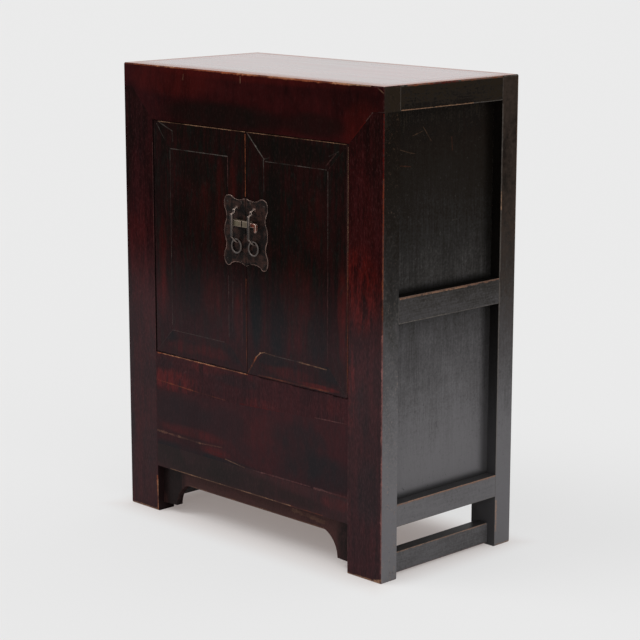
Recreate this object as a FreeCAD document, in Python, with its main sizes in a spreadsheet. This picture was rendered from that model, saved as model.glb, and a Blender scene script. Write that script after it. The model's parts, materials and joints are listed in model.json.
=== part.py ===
import FreeCAD, Part
import math
import operator
import os
from types import SimpleNamespace

import Sketcher

# The driving dimensions of the kang cabinet, in millimetres.
SIZES = {
    # The case.
    "width": 664,
    "depth": 334,
    "height": 840,
    "worn_arris": 3,
    # The four posts. A face is seen from the front or back, a side from the end.
    "post_face": 80,
    "post_side": 38,
    "rear_post_face": 56,
    "rear_post_side": 42,
    # The rails of the top frame, and the deeper head rail over the doors.
    "head_rail_face": 99,
    "top_rail_height": 42,
    "side_rail_thickness": 40,
    # The lower rails, by the height of their top edge above the floor.
    "middle_rail_top": 489,
    "middle_rail_height": 45,
    "base_rail_top": 133,
    "side_base_height": 40,
    "front_base_height": 44,
    "rear_rail_depth": 36,
    # The low side stretchers between the feet.
    "stretcher_inset": 17,
    "stretcher_thickness": 24,
    "stretcher_top": 41,
    "stretcher_clearance": 4,
    # Mortise and tenon joints, and the grooves that hold the panels.
    "tenon_thickness": 12,
    "tenon_length": 20,
    "tenon_shoulder": 10,
    "front_tenon_set": 16,
    "side_tenon_set": 12,
    "post_tenon_set": 8,
    "post_tenon_width": 42,
    "tenon_cover": 14,
    "groove_depth": 7,
    # The panels of the top, sides and back.
    "top_panel_thickness": 16,
    "top_tongue_set": 6,
    "top_tongue_thickness": 8,
    "top_batten_width": 28,
    "top_batten_height": 20,
    "top_batten_place": 134,
    "side_panel_recess": 21,
    "side_panel_thickness": 10,
    "back_panel_recess": 12,
    "back_panel_thickness": 10,
    # The sliding dovetails that key a batten into its panel.
    "dovetail_depth": 4,
    "dovetail_neck": 16,
    "dovetail_flare": 2,
    # The front below the doors: a tapered sill rail, a flush board and the apron.
    "sill_top": 309,
    "sill_left_height": 72,
    "sill_right_height": 45,
    "sill_tenon_height": 28,
    "front_board_thickness": 14,
    "front_tongue_thickness": 8,
    "apron_setback": 13.5,
    "apron_thickness": 14,
    "apron_underside": 60.5,
    "apron_foot_width": 38,
    "apron_foot_bottom": 14,
    "apron_foot_rise": 2,
    "apron_curve_run": 31,
    "apron_tongue": 8,
    # The pivot hung doors.
    "door_gap": 1,
    "meeting_gap": 1.2,
    "door_thickness": 22,
    "hinge_stile_width": 47,
    "meeting_stile_width": 46,
    "door_rail_height": 46,
    "door_tenon_thickness": 7,
    "door_tenon_set": 8,
    "door_tenon_length": 26,
    "door_tenon_height": 20,
    "door_tenon_shoulder": 8,
    "door_panel_thickness": 12,
    "door_tongue_thickness": 7,
    "door_tongue_depth": 6,
    "door_batten_height": 26,
    "door_batten_tenon": 10,
    "door_dovetail_depth": 3,
    "pivot_radius": 6,
    "pivot_clearance": 0.05,
    "pivot_from_edge": 14,
    "pivot_from_front": 8,
    "pivot_root": 32,
    "upper_pivot_length": 14,
    "lower_pivot_length": 9,
    "upper_socket_depth": 25,
    "socket_end_gap": 0.2,
    "hinge_edge_radius": 5,
    # The boards inside: the shelf, the floor with its loose board, the hidden compartment.
    "shelf_thickness": 14,
    "door_stop_gap": 0.3,
    "door_stop_inset": 40,
    "floor_thickness": 14,
    "compartment_board_thickness": 12,
    "bearer_width": 12,
    "bearer_height": 20,
    "lid_width": 130,
    "lid_gap": 0.5,
    "lid_seat_gap": 0.3,
    "finger_hole_radius": 13,
    # The two halves of the lock plate, set a little above the middle of the doors.
    "plate_rise": 38,
    "plate_half_width": 57,
    "plate_height": 126,
    "plate_thickness": 1.2,
    "nail_head_radius": 2.4,
    "nail_head_height": 1.2,
    "nail_shank_radius": 0.9,
    "nail_shank_length": 10,
    # The strap staples that stand in front of the plate, clenched behind the door.
    "staple_place": 22,
    "staple_rise": 44,
    "staple_reach": 16,
    "staple_step_reach": 10,
    "staple_step_drop": 9,
    "staple_bar_drop": 52,
    "staple_foot_reach": 5,
    "strap_width": 5,
    "strap_thickness": 3,
    "clench_length": 10,
    # The rings, the keepers that guide the lock pin, and the pin.
    "ring_radius": 12,
    "ring_wire_radius": 1.6,
    "ring_gap": 0.5,
    "keeper_rise": 16.5,
    "keeper_height": 10.6,
    "keeper_depth": 10.6,
    "keeper_wall": 1.4,
    "keeper_from_seam": 1.6,
    "left_keeper_length": 26,
    "right_keeper_length": 17,
    "pin_play": 0.3,
    "pin_thickness": 5,
    "pin_tip": 2.2,
    "pin_end": 35,
    "pin_tail_width": 5,
    "pin_tail_drop": 8.5,
}

# Points of the half lock plate's scalloped edge, as shares of its half width and its height.
PLATE_EDGE_SHARES = (
    ("corner", 0.00, 0.984),
    ("via", 0.26, 0.952),
    ("corner", 0.55, 0.966),
    ("via", 0.76, 1.000),
    ("corner", 0.93, 0.968),
    ("via", 0.99, 0.880),
    ("corner", 0.93, 0.785),
    ("via", 0.88, 0.695),
    ("corner", 0.93, 0.605),
    ("via", 0.99, 0.490),
    ("corner", 0.93, 0.375),
    ("via", 0.895, 0.300),
    ("corner", 0.94, 0.220),
    ("via", 1.00, 0.125),
    ("corner", 0.93, 0.030),
    ("via", 0.82, 0.000),
    ("corner", 0.66, 0.036),
    ("via", 0.36, 0.066),
    ("corner", 0.00, 0.022),
)

# Where the plate's nails stand, as shares of its half width and its height.
NAIL_PLACE_SHARES = ((0.20, 0.915), (0.82, 0.900), (0.86, 0.520), (0.84, 0.090), (0.20, 0.075))

RIGHT = 1
LEFT = -1
SIDES = {"right": RIGHT, "left": LEFT}
SHOULDER_FALL_SHARE = 0.45
HALF_OF_45_TURN_SHARE = math.tan(math.radians(22.5))
ARC_MIDDLE_SHARE = 1 - math.sqrt(0.5)

doc = FreeCAD.newDocument("kang_cabinet")
subparts = []


class Size:
    """A length of the sheet, or a formula of such lengths: its expression text and its value."""

    operations = {"+": operator.add, "-": operator.sub, "*": operator.mul, "/": operator.truediv}

    def __init__(self, text, value):
        self.text = text
        self.value = value

    @staticmethod
    def of(thing):
        return thing if isinstance(thing, Size) else Size(repr(float(thing)), float(thing))

    @classmethod
    def joined(cls, first, sign, second):
        first = cls.of(first)
        second = cls.of(second)
        value = cls.operations[sign](first.value, second.value)
        return Size(f"({first.text} {sign} {second.text})", value)

    def __add__(self, other):
        return Size.joined(self, "+", other)

    def __radd__(self, other):
        return Size.joined(other, "+", self)

    def __sub__(self, other):
        return Size.joined(self, "-", other)

    def __rsub__(self, other):
        return Size.joined(other, "-", self)

    def __mul__(self, other):
        return Size.joined(self, "*", other)

    def __rmul__(self, other):
        return Size.joined(other, "*", self)

    def __truediv__(self, other):
        return Size.joined(self, "/", other)

    def __neg__(self):
        return Size.joined(0, "-", self)


def make_sheet():
    """The spreadsheet of driving dimensions, and each one as a Size."""
    sheet = doc.addObject("Spreadsheet::Sheet", "sizes")
    for row, (name, value) in enumerate(SIZES.items(), start=1):
        sheet.set(f"A{row}", name)
        sheet.set(f"B{row}", str(value))
        sheet.setAlias(f"B{row}", name)
    doc.recompute()
    return SimpleNamespace(**{name: Size(f"sizes.{name}", sheet.get(name)) for name in SIZES})


s = make_sheet()
zero = Size.of(0)

# Where the main planes lie. The origin is on the floor, under the middle of the whole object.
half = s.width / 2
front = (s.staple_reach - s.depth) / 2
back = front + s.depth
frame_back = front + s.post_side
rear_frame = back - s.rear_post_side
opening = half - s.post_face
rear_opening = half - s.rear_post_face
opening_top = s.height - s.head_rail_face
top_rail_bottom = s.height - s.top_rail_height
middle_rail_bottom = s.middle_rail_top - s.middle_rail_height
panel_outside = half - s.side_panel_recess
panel_inside = panel_outside - s.side_panel_thickness
back_panel_back = back - s.back_panel_recess
back_panel_front = back_panel_back - s.back_panel_thickness
inside_middle = (frame_back + back_panel_front) / 2
front_tenon = (front + s.front_tenon_set, front + s.front_tenon_set + s.tenon_thickness)
rear_tenon = (back - s.side_tenon_set - s.tenon_thickness, back - s.side_tenon_set)


def bind(thing, **formulas):
    """Bind properties to formulas. A double underscore stands for a dot."""
    for name, formula in formulas.items():
        thing.setExpression(name.replace("__", "."), Size.of(formula).text)
    return thing


def across(side, inner, outer):
    """The range of x between two distances from the middle, on one side of the cabinet."""
    return (inner, outer) if side == RIGHT else (-outer, -inner)


def box(x, y, z):
    """A block, from the range that it fills along each axis."""
    block = doc.addObject("Part::Box", "block")
    bind(block, Length=x[1] - x[0], Width=y[1] - y[0], Height=z[1] - z[0])
    return bind(block, Placement__Base__x=x[0], Placement__Base__y=y[0], Placement__Base__z=z[0])


def upright_cylinder(x, y, z, radius):
    """A cylinder along z, between two heights."""
    cylinder = doc.addObject("Part::Cylinder", "cylinder")
    bind(cylinder, Radius=radius, Height=z[1] - z[0])
    return bind(cylinder, Placement__Base__x=x, Placement__Base__y=y, Placement__Base__z=z[0])


def facing(kind, x, y, z, **sizes):
    """A round primitive with its axis turned from z to -y, standing at y and pointing to the front."""
    thing = doc.addObject(kind, "round_piece")
    thing.Placement.Rotation = FreeCAD.Rotation(FreeCAD.Vector(1, 0, 0), 90)
    bind(thing, **sizes)
    return bind(thing, Placement__Base__x=x, Placement__Base__y=y, Placement__Base__z=z)


def fuse(*pieces):
    """Several shapes made one."""
    whole = doc.addObject("Part::MultiFuse", "fused")
    whole.Shapes = list(pieces)
    whole.Refine = True
    return whole


def cut(base, *tools):
    """The base with every tool taken out of it."""
    result = doc.addObject("Part::Cut", "cut")
    result.Base = base
    result.Tool = tools[0] if len(tools) == 1 else fuse(*tools)
    result.Refine = True
    return result


def common(base, tool):
    """What two shapes share."""
    result = doc.addObject("Part::Common", "common")
    result.Base = base
    result.Tool = tool
    result.Refine = True
    return result


def group(*pieces):
    """Separate solids kept side by side in one sub-part."""
    compound = doc.addObject("Part::Compound", "group")
    compound.Links = list(pieces)
    return compound


def add(name, shape):
    """Take a finished shape as the sub-part of this name."""
    shape.Label = name
    subparts.append(shape)
    return shape


def corner(u, v):
    return ("corner", Size.of(u), Size.of(v))


def via(u, v):
    return ("via", Size.of(u), Size.of(v))


def polygon(*points):
    return [corner(u, v) for u, v in points]


def point_of(entry):
    return FreeCAD.Vector(entry[1].value, entry[2].value, 0)


def fix_point(sketch, index, place, entry):
    """Hold one point of a sketch at its two formulas, measured from the sketch's origin."""
    for kind, size in (("DistanceX", entry[1]), ("DistanceY", entry[2])):
        held = sketch.addConstraint(Sketcher.Constraint(kind, -1, 1, index, place, size.value))
        sketch.setExpression(f"Constraints[{held}]", size.text)


def draw_outline(sketch, outline):
    """Draw a closed outline of corners. A via point makes the run between its corners an arc."""
    starts = []
    ends = []
    count = len(outline)
    for place, entry in enumerate(outline):
        if entry[0] == "via":
            continue
        middle = outline[(place + 1) % count]
        curved = middle[0] == "via"
        following = outline[(place + 2) % count] if curved else middle
        if curved:
            turn = (point_of(middle) - point_of(entry)).cross(point_of(following) - point_of(middle)).z
            first, last = (1, 2) if turn > 0 else (2, 1)
            low, high = (entry, following) if turn > 0 else (following, entry)
            arc = Part.Arc(point_of(low), point_of(middle), point_of(high))
            index = sketch.addGeometry(arc, False)
            marker = sketch.addGeometry(Part.Point(point_of(middle)), True)
            fix_point(sketch, marker, 1, middle)
            sketch.addConstraint(Sketcher.Constraint("PointOnObject", marker, 1, index))
        else:
            index = sketch.addGeometry(Part.LineSegment(point_of(entry), point_of(following)), False)
            first, last = 1, 2
        starts.append((index, first, entry))
        ends.append((index, last))
    for (index, first, entry), (before, last) in zip(starts, ends[-1:] + ends[:-1]):
        sketch.addConstraint(Sketcher.Constraint("Coincident", before, last, index, first))
        fix_point(sketch, index, first, entry)


def pad(plane, outline, span):
    """A body: one closed outline on an origin plane, padded over a range square to that plane."""
    body = doc.addObject("PartDesign::Body", "body")
    sketch = body.newObject("Sketcher::SketchObject", "outline")
    origin_plane = next(item for item in body.Origin.OriginFeatures if item.Role == f"{plane}_Plane")
    sketch.AttachmentSupport = [(origin_plane, "")]
    sketch.MapMode = "FlatFace"
    start = -span[1] if plane == "XZ" else span[0]
    sketch.setExpression("AttachmentOffset.Base.z", Size.of(start).text)
    draw_outline(sketch, outline)
    block = body.newObject("PartDesign::Pad", "pad")
    block.Profile = sketch
    bind(block, Length=span[1] - span[0])
    sketch.Visibility = False
    return body


def make_case_envelope():
    """The whole case as one block with worn edges. Pieces on its outside are trimmed by it."""
    outline = polygon((-half, front), (half, front), (half, back), (-half, back))
    body = pad("XY", outline, (zero, s.height))
    doc.recompute()
    block = body.Tip
    worn = body.newObject("PartDesign::Fillet", "worn_edges")
    worn.Base = (block, [f"Edge{number}" for number in range(1, len(block.Shape.Edges) + 1)])
    bind(worn, Radius=s.worn_arris)
    body.Tip = worn
    return body


def dovetail(half_neck, neck_at, tip_at, along):
    """The points of a dovetail's section: its neck on the panel's face, its wide tip inside."""
    flared = half_neck + s.dovetail_flare
    points = ((-half_neck, neck_at), (half_neck, neck_at), (flared, tip_at), (-flared, tip_at))
    return polygon(*((along + a, b) for a, b in points))


# Panels come first: each is also the tool that cuts its grooves.
def make_side_panel(side, low, high):
    """A side board, let into the posts and rails all round."""
    return box(
        across(side, panel_inside, panel_outside),
        (frame_back - s.groove_depth, rear_frame + s.groove_depth),
        (low - s.groove_depth, high + s.groove_depth),
    )


def make_back_panel(low, high):
    """A back board, let into the rear posts and rails."""
    reach = rear_opening + s.groove_depth
    height = (low - s.groove_depth, high + s.groove_depth)
    return box((-reach, reach), (back_panel_front, back_panel_back), height)


envelope = make_case_envelope()
side_panels = {
    (name, level): add(f"{name}_{level}_side_panel", make_side_panel(side, low, high))
    for name, side in SIDES.items()
    for level, low, high in (
        ("upper", s.middle_rail_top, top_rail_bottom),
        ("lower", s.base_rail_top, middle_rail_bottom),
    )
}
back_panels = {
    "upper": add("rear_upper_panel", make_back_panel(s.middle_rail_top, top_rail_bottom)),
    "lower": add("rear_lower_panel", make_back_panel(s.base_rail_top, middle_rail_bottom)),
}

# The top panel floats flush in the top frame, on a tongue all round.
top_inner = half - s.side_rail_thickness
top_tongue = box(
    (-top_inner - s.groove_depth, top_inner + s.groove_depth),
    (frame_back - s.groove_depth, rear_frame + s.groove_depth),
    (s.height - s.top_tongue_set - s.top_tongue_thickness, s.height - s.top_tongue_set),
)
top_panel_bottom = s.height - s.top_panel_thickness


def make_top_batten(side):
    """A cross batten under the top: tenoned at both ends and keyed into the panel."""
    middle = side * s.top_batten_place
    width = (middle - s.top_batten_width / 2, middle + s.top_batten_width / 2)
    body = box(width, (frame_back, rear_frame), (top_panel_bottom - s.top_batten_height, top_panel_bottom))
    tenon = box(
        (middle - s.tenon_thickness / 2, middle + s.tenon_thickness / 2),
        (frame_back - s.groove_depth, rear_frame + s.groove_depth),
        (top_panel_bottom - s.top_batten_height * 0.8, top_panel_bottom - s.top_batten_height * 0.2),
    )
    key_top = top_panel_bottom + s.dovetail_depth
    key = dovetail(s.dovetail_neck / 2, top_panel_bottom, key_top, middle)
    return fuse(body, tenon, pad("XZ", key, (frame_back, rear_frame)))


top_battens = add("top_battens", group(*(make_top_batten(side) for side in SIDES.values())))
top_board = box((-top_inner, top_inner), (frame_back, rear_frame), (top_panel_bottom, s.height))
add("top_panel", cut(fuse(top_board, top_tongue), top_battens))

# The flush board below the doors. Its top edge follows the taper of the sill rail.
sill_left = s.sill_top - s.sill_left_height
sill_right = s.sill_top - s.sill_right_height
front_board_tongue = pad(
    "XZ",
    polygon(
        (-opening - s.groove_depth, s.base_rail_top - s.groove_depth),
        (opening + s.groove_depth, s.base_rail_top - s.groove_depth),
        (opening + s.groove_depth, sill_right + s.groove_depth),
        (-opening - s.groove_depth, sill_left + s.groove_depth),
    ),
    (front + s.front_board_thickness - s.front_tongue_thickness, front + s.front_board_thickness),
)
front_board_face = pad(
    "XZ",
    polygon(
        (-opening, s.base_rail_top),
        (opening, s.base_rail_top),
        (opening, sill_right),
        (-opening, sill_left),
    ),
    (front, front + s.front_board_thickness),
)
add("front_lower_panel", fuse(front_board_face, front_board_tongue))


def make_apron():
    """The set back apron: a straight edge between two curved spandrels that run down as feet."""
    outer = opening + s.groove_depth
    foot = opening - s.apron_foot_width
    spring = foot - s.apron_curve_run
    top = s.base_rail_top - s.front_base_height + s.apron_tongue
    foot_bottom = s.apron_foot_bottom + s.apron_foot_rise
    rise = s.apron_underside - foot_bottom
    bow_share = 0.66
    outline = [
        corner(outer, top),
        corner(outer, s.apron_foot_bottom),
        corner(foot, foot_bottom),
        via(foot - s.apron_curve_run * (1 - bow_share), foot_bottom + rise * bow_share),
        corner(spring, s.apron_underside),
        corner(-spring, s.apron_underside),
        via(s.apron_curve_run * (1 - bow_share) - foot, foot_bottom + rise * bow_share),
        corner(-foot, foot_bottom),
        corner(-outer, s.apron_foot_bottom),
        corner(-outer, top),
    ]
    face = front + s.apron_setback
    return pad("XZ", outline, (face, face + s.apron_thickness))


apron = add("front_apron", make_apron())


# Tenons: each is fused to its rail and is the tool that cuts its mortise.
def front_rail_tenons(low, high):
    """The two tenons of a rail between the front posts."""
    return {
        side: box(across(side, opening, opening + s.tenon_length), front_tenon, (low, high))
        for side in SIDES.values()
    }


def rear_rail_tenons(low, high):
    """The two tenons of a rail between the rear posts."""
    height = (low + s.tenon_shoulder, high - s.tenon_shoulder)
    return {
        side: box(across(side, rear_opening, rear_opening + s.tenon_length), rear_tenon, height)
        for side in SIDES.values()
    }


def side_member_tenons(x, z):
    """The front and rear tenons of a member that runs from front to back."""
    return {
        "front": box(x, (frame_back - s.tenon_length, frame_back), z),
        "rear": box(x, (rear_frame, rear_frame + s.tenon_length), z),
    }


def make_side_rail(side, low, high):
    """A side rail's block and its tenons."""
    rail = box(across(side, half - s.side_rail_thickness, half), (frame_back, rear_frame), (low, high))
    tenon_outside = half - s.side_tenon_set
    width = across(side, tenon_outside - s.tenon_thickness, tenon_outside)
    return rail, side_member_tenons(width, (low + s.tenon_shoulder, high - s.tenon_shoulder))


def make_stretcher(side):
    """The low stretcher between a front and a rear foot, set in from the outside."""
    outside = half - s.stretcher_inset
    inside = outside - s.stretcher_thickness
    low, high = s.stretcher_clearance, s.stretcher_top
    rail = box(across(side, inside, outside), (frame_back, rear_frame), (low, high))
    middle = (inside + outside) / 2
    width = across(side, middle - s.tenon_thickness / 2, middle + s.tenon_thickness / 2)
    shoulder = s.tenon_shoulder / 2
    return rail, side_member_tenons(width, (low + shoulder, high - shoulder))


side_tenons = {side: [] for side in SIDES.values()}
side_base_bottom = s.base_rail_top - s.side_base_height
for name, side in SIDES.items():
    upper = side_panels[name, "upper"]
    lower = side_panels[name, "lower"]
    members = (
        ("top_rail", make_side_rail(side, top_rail_bottom, s.height), (upper, top_tongue)),
        ("middle_rail", make_side_rail(side, middle_rail_bottom, s.middle_rail_top), (upper, lower)),
        ("bottom_rail", make_side_rail(side, side_base_bottom, s.base_rail_top), (lower,)),
        ("stretcher", make_stretcher(side), ()),
    )
    for kind, (rail, tenons), grooves in members:
        trimmed = common(rail, envelope) if kind == "top_rail" else rail
        piece = fuse(trimmed, *tenons.values())
        add(f"{name}_{kind}", cut(piece, *grooves) if grooves else piece)
        side_tenons[side].append(tenons)

# The rear rails.
rear_tenons = {side: [] for side in SIDES.values()}
rear_inside = back - s.rear_rail_depth
for kind, low, high, near, grooves in (
    ("top", top_rail_bottom, s.height, rear_frame, (back_panels["upper"], top_tongue, top_battens)),
    ("middle", middle_rail_bottom, s.middle_rail_top, rear_inside, tuple(back_panels.values())),
    ("bottom", side_base_bottom, s.base_rail_top, rear_inside, (back_panels["lower"],)),
):
    rail = common(box((-rear_opening, rear_opening), (near, back), (low, high)), envelope)
    tenons = rear_rail_tenons(low, high)
    add(f"rear_{kind}_rail", cut(fuse(rail, *tenons.values()), *grooves))
    for side, tenon in tenons.items():
        rear_tenons[side].append(tenon)

# The door's place in the opening, and its pivots with their sockets in the head rail and sill.
door_outer = opening - s.door_gap
door_inner = s.meeting_gap / 2
door_bottom = s.sill_top + s.door_gap
door_top = opening_top - s.door_gap
door_back = front + s.door_thickness
pivot_x = door_outer - s.pivot_from_edge
pivot_y = front + s.pivot_from_front


def make_pivots(side, radius, low, high):
    """The lower and upper pivot cylinders of one door, or their sockets."""
    x = side * pivot_x
    lower = upright_cylinder(x, pivot_y, (low, door_bottom + s.pivot_root), radius)
    upper = upright_cylinder(x, pivot_y, (door_top - s.pivot_root, high), radius)
    return lower, upper


pivot_ends = (door_bottom - s.lower_pivot_length, door_top + s.upper_pivot_length)
pivots = {side: make_pivots(side, s.pivot_radius, *pivot_ends) for side in SIDES.values()}
socket_ends = (pivot_ends[0] - s.socket_end_gap, opening_top + s.upper_socket_depth)
sockets = {
    side: make_pivots(side, s.pivot_radius + s.pivot_clearance, *socket_ends) for side in SIDES.values()
}

# The front rails.
head_tenons = {
    side: box(
        across(side, opening + s.post_tenon_set, opening + s.post_tenon_set + s.post_tenon_width),
        front_tenon,
        (opening_top, s.height - s.tenon_cover),
    )
    for side in SIDES.values()
}
mitre_end = opening + s.head_rail_face - s.top_rail_height
head_outline = polygon(
    (half, s.height),
    (half, top_rail_bottom),
    (mitre_end, top_rail_bottom),
    (opening, opening_top),
    (-opening, opening_top),
    (-mitre_end, top_rail_bottom),
    (-half, top_rail_bottom),
    (-half, s.height),
)
add(
    "front_top_rail",
    cut(
        common(pad("XZ", head_outline, (front, frame_back)), envelope),
        top_tongue,
        top_battens,
        *head_tenons.values(),
        *(tenons[0]["front"] for tenons in side_tenons.values()),
        *(side_panels[name, "upper"] for name in SIDES),
        *(socket[1] for socket in sockets.values()),
    ),
)

sill_outline = polygon(
    (-opening, sill_left),
    (opening, sill_right),
    (opening, s.sill_top),
    (-opening, s.sill_top),
)
sill_tenon_top = s.sill_top - s.tenon_shoulder
sill_tenons = front_rail_tenons(sill_tenon_top - s.sill_tenon_height, sill_tenon_top)
add(
    "front_sill_rail",
    cut(
        fuse(pad("XZ", sill_outline, (front, frame_back)), *sill_tenons.values()),
        front_board_tongue,
        *(socket[0] for socket in sockets.values()),
    ),
)

base_bottom = s.base_rail_top - s.front_base_height
base_tenons = front_rail_tenons(base_bottom + s.tenon_shoulder, s.base_rail_top - s.tenon_shoulder)
base_block = box((-opening, opening), (front, frame_back), (base_bottom, s.base_rail_top))
add("front_bottom_rail", cut(fuse(base_block, *base_tenons.values()), front_board_tongue, apron))

# The posts. The front ones are mitred into the head rail at the door opening.
for name, side in SIDES.items():
    panels = (side_panels[name, "upper"], side_panels[name, "lower"])
    outline = polygon(
        (side * opening, zero),
        (side * half, zero),
        (side * half, top_rail_bottom),
        (side * mitre_end, top_rail_bottom),
        (side * opening, opening_top),
    )
    post = fuse(common(pad("XZ", outline, (front, frame_back)), envelope), head_tenons[side])
    front_cuts = [tenons["front"] for tenons in side_tenons[side][1:]]
    front_cuts += [sill_tenons[side], base_tenons[side], front_board_tongue, apron]
    add(f"front_{name}_post", cut(post, *panels, *front_cuts))

    rear_block = box(across(side, rear_opening, half), (rear_frame, back), (zero, s.height))
    rear_cuts = [tenons["rear"] for tenons in side_tenons[side]] + rear_tenons[side]
    add(
        f"rear_{name}_post",
        cut(common(rear_block, envelope), *panels, *rear_cuts, *back_panels.values(), top_tongue),
    )


# The boards inside.
def make_board(low_y, high_y, bottom, thickness):
    """A board across the cabinet, notched round the posts that it meets."""
    right_edge = []
    if low_y.value < frame_back.value:
        right_edge += [(opening, low_y), (opening, frame_back), (panel_inside, frame_back)]
    else:
        right_edge += [(panel_inside, low_y)]
    if high_y.value > rear_frame.value:
        right_edge += [(panel_inside, rear_frame), (rear_opening, rear_frame), (rear_opening, high_y)]
    else:
        right_edge += [(panel_inside, high_y)]
    left_edge = [(-x, y) for x, y in reversed(right_edge)]
    return pad("XY", polygon(*right_edge, *left_edge), (bottom, bottom + thickness))


floor_bottom = s.sill_top - s.floor_thickness
lid_front = inside_middle - s.lid_width / 2
lid_back = lid_front + s.lid_width
lining_front = front + s.front_board_thickness
shelf = (s.middle_rail_top, s.shelf_thickness)
floor = (floor_bottom, s.floor_thickness)
compartment = (s.base_rail_top, s.compartment_board_thickness)
boards = {
    "shelf_front_board": make_board(frame_back, inside_middle, *shelf),
    "shelf_rear_board": make_board(inside_middle, back_panel_front, *shelf),
    "floor_front_board": make_board(frame_back, lid_front - s.lid_gap, *floor),
    "floor_rear_board": make_board(lid_back + s.lid_gap, back_panel_front, *floor),
    "compartment_front_board": make_board(lining_front, inside_middle, *compartment),
    "compartment_rear_board": make_board(inside_middle, back_panel_front, *compartment),
}

# The shelf reaches forward between the posts, as the stop that the doors close against.
stop_reach = opening - s.door_stop_inset
stop_front = front + s.door_thickness + s.door_stop_gap
door_stop = box((-stop_reach, stop_reach), (stop_front, frame_back), (shelf[0], shelf[0] + shelf[1]))
boards["shelf_front_board"] = fuse(boards["shelf_front_board"], door_stop)
for name, board in boards.items():
    add(name, board)

bearer_height = (floor_bottom - s.bearer_height, floor_bottom)
bearers = [
    box(across(side, panel_inside - s.bearer_width, panel_inside), (frame_back, rear_frame), bearer_height)
    for side in SIDES.values()
]
add("floor_bearers", group(*bearers))

# The loose floor board that lifts off the hidden compartment by its finger hole.
lid_end = panel_inside - s.lid_gap
lid_height = (floor_bottom + s.lid_seat_gap, s.sill_top)
finger_hole = upright_cylinder(zero, (lid_front + lid_back) / 2, lid_height, s.finger_hole_radius)
add("compartment_lid", cut(box((-lid_end, lid_end), (lid_front, lid_back), lid_height), finger_hole))

# The lock plate, its nails, the staples, keepers, rings and pin.
plate_face = front - s.plate_thickness
plate_middle = (door_bottom + door_top) / 2 + s.plate_rise
plate_bottom = plate_middle - s.plate_height / 2
staple_top = plate_middle + s.staple_rise
bar_bottom = staple_top - s.staple_bar_drop
foot_bottom = bar_bottom - (s.staple_reach - s.staple_foot_reach)
keeper_middle = plate_middle + s.keeper_rise
strap = s.strap_thickness


def plate_point(side, across_share, up_share):
    """A point of the plate, from its shares of the plate's width and height."""
    seam = door_inner
    x = seam + (s.plate_half_width - seam) * across_share
    return side * x, plate_bottom + s.plate_height * up_share


def make_nail(x, z):
    """One plate nail: a low cone head and a round shank into the door."""
    rim = {"Radius1": s.nail_head_radius, "Radius2": s.nail_head_radius / 2}
    head = facing("Part::Cone", x, plate_face, z, Height=s.nail_head_height, **rim)
    round_shank = {"Radius": s.nail_shank_radius, "Height": s.nail_shank_length}
    shank = facing("Part::Cylinder", x, plate_face + s.nail_shank_length, z, **round_shank)
    return fuse(head, shank)


def make_staple(side):
    """A strap bent to two falling shoulders, an upright bar and a slanting foot, clenched behind."""
    clench_out = door_back + strap
    bar_front = front - s.staple_reach
    bar_back = bar_front + strap
    step_front = front - s.staple_step_reach
    step_back = step_front + strap
    foot_front = front - s.staple_foot_reach
    step_top = staple_top - s.staple_step_drop

    def fallen(height, start, end):
        return height - (start - end) * SHOULDER_FALL_SHARE

    ease = strap * HALF_OF_45_TURN_SHARE
    outline = polygon(
        (clench_out, staple_top + s.clench_length),
        (door_back, staple_top + s.clench_length),
        (door_back, staple_top),
        (plate_face, staple_top),
        (step_front, fallen(staple_top, plate_face, step_front)),
        (step_front, step_top),
        (bar_front, fallen(step_top, step_front, bar_front)),
        (bar_front, bar_bottom),
        (foot_front, foot_bottom),
        (door_back, foot_bottom),
        (door_back, foot_bottom - s.clench_length),
        (clench_out, foot_bottom - s.clench_length),
        (clench_out, foot_bottom + strap),
        (foot_front - ease, foot_bottom + strap),
        (bar_back, bar_bottom + ease),
        (bar_back, fallen(step_top, step_front, bar_back) - strap),
        (step_back, step_top - strap),
        (step_back, fallen(staple_top, plate_face, step_back) - strap),
        (plate_face, staple_top - strap),
        (clench_out, staple_top - strap),
    )
    inner = s.staple_place - s.strap_width / 2
    return pad("YZ", outline, across(side, inner, inner + s.strap_width))


def make_keeper(side, length):
    """A bracket of strap on the plate: the lock pin slides through it, behind the staple."""
    x = across(side, s.keeper_from_seam, s.keeper_from_seam + length)
    low = keeper_middle - s.keeper_height / 2
    high = low + s.keeper_height
    face = plate_face - s.keeper_depth
    wall = s.keeper_wall
    outside = box(x, (face, plate_face), (low, high))
    return cut(outside, box(x, (face + wall, plate_face), (low + wall, high - wall)))


def make_ring(side):
    """A ring hung on the staple's foot, flat against the plate."""
    foot_top = foot_bottom + strap
    wire = s.ring_wire_radius
    centre = foot_top + s.ring_gap + wire - s.ring_radius
    return facing("Part::Torus", side * s.staple_place, plate_face - s.ring_gap - wire, centre,
                  Radius1=s.ring_radius, Radius2=wire)


def make_lock_pin():
    """The flat lock pin in the right keeper, with its tail turned down at the outer end."""
    face = plate_face - s.keeper_depth + s.keeper_wall + s.pin_play
    pin_height = s.keeper_height - 2 * (s.keeper_wall + s.pin_play)
    low = keeper_middle - pin_height / 2
    high = low + pin_height
    outline = polygon(
        (s.pin_tip, low + pin_height / 4),
        (s.pin_tip + pin_height / 4, low),
        (s.pin_end - s.pin_tail_width, low),
        (s.pin_end - s.pin_tail_width, low - s.pin_tail_drop),
        (s.pin_end - s.pin_tail_width / 4, low - s.pin_tail_drop),
        (s.pin_end, low - s.pin_tail_drop / 2),
        (s.pin_end, high - s.pin_tail_width / 2),
        (s.pin_end - s.pin_tail_width / 2, high),
        (s.pin_tip + pin_height / 4, high),
        (s.pin_tip, high - pin_height / 4),
    )
    return pad("XZ", outline, (face, face + s.pin_thickness))


add("lock_pin", make_lock_pin())
keeper_lengths = {"left": s.left_keeper_length, "right": s.right_keeper_length}


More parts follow.
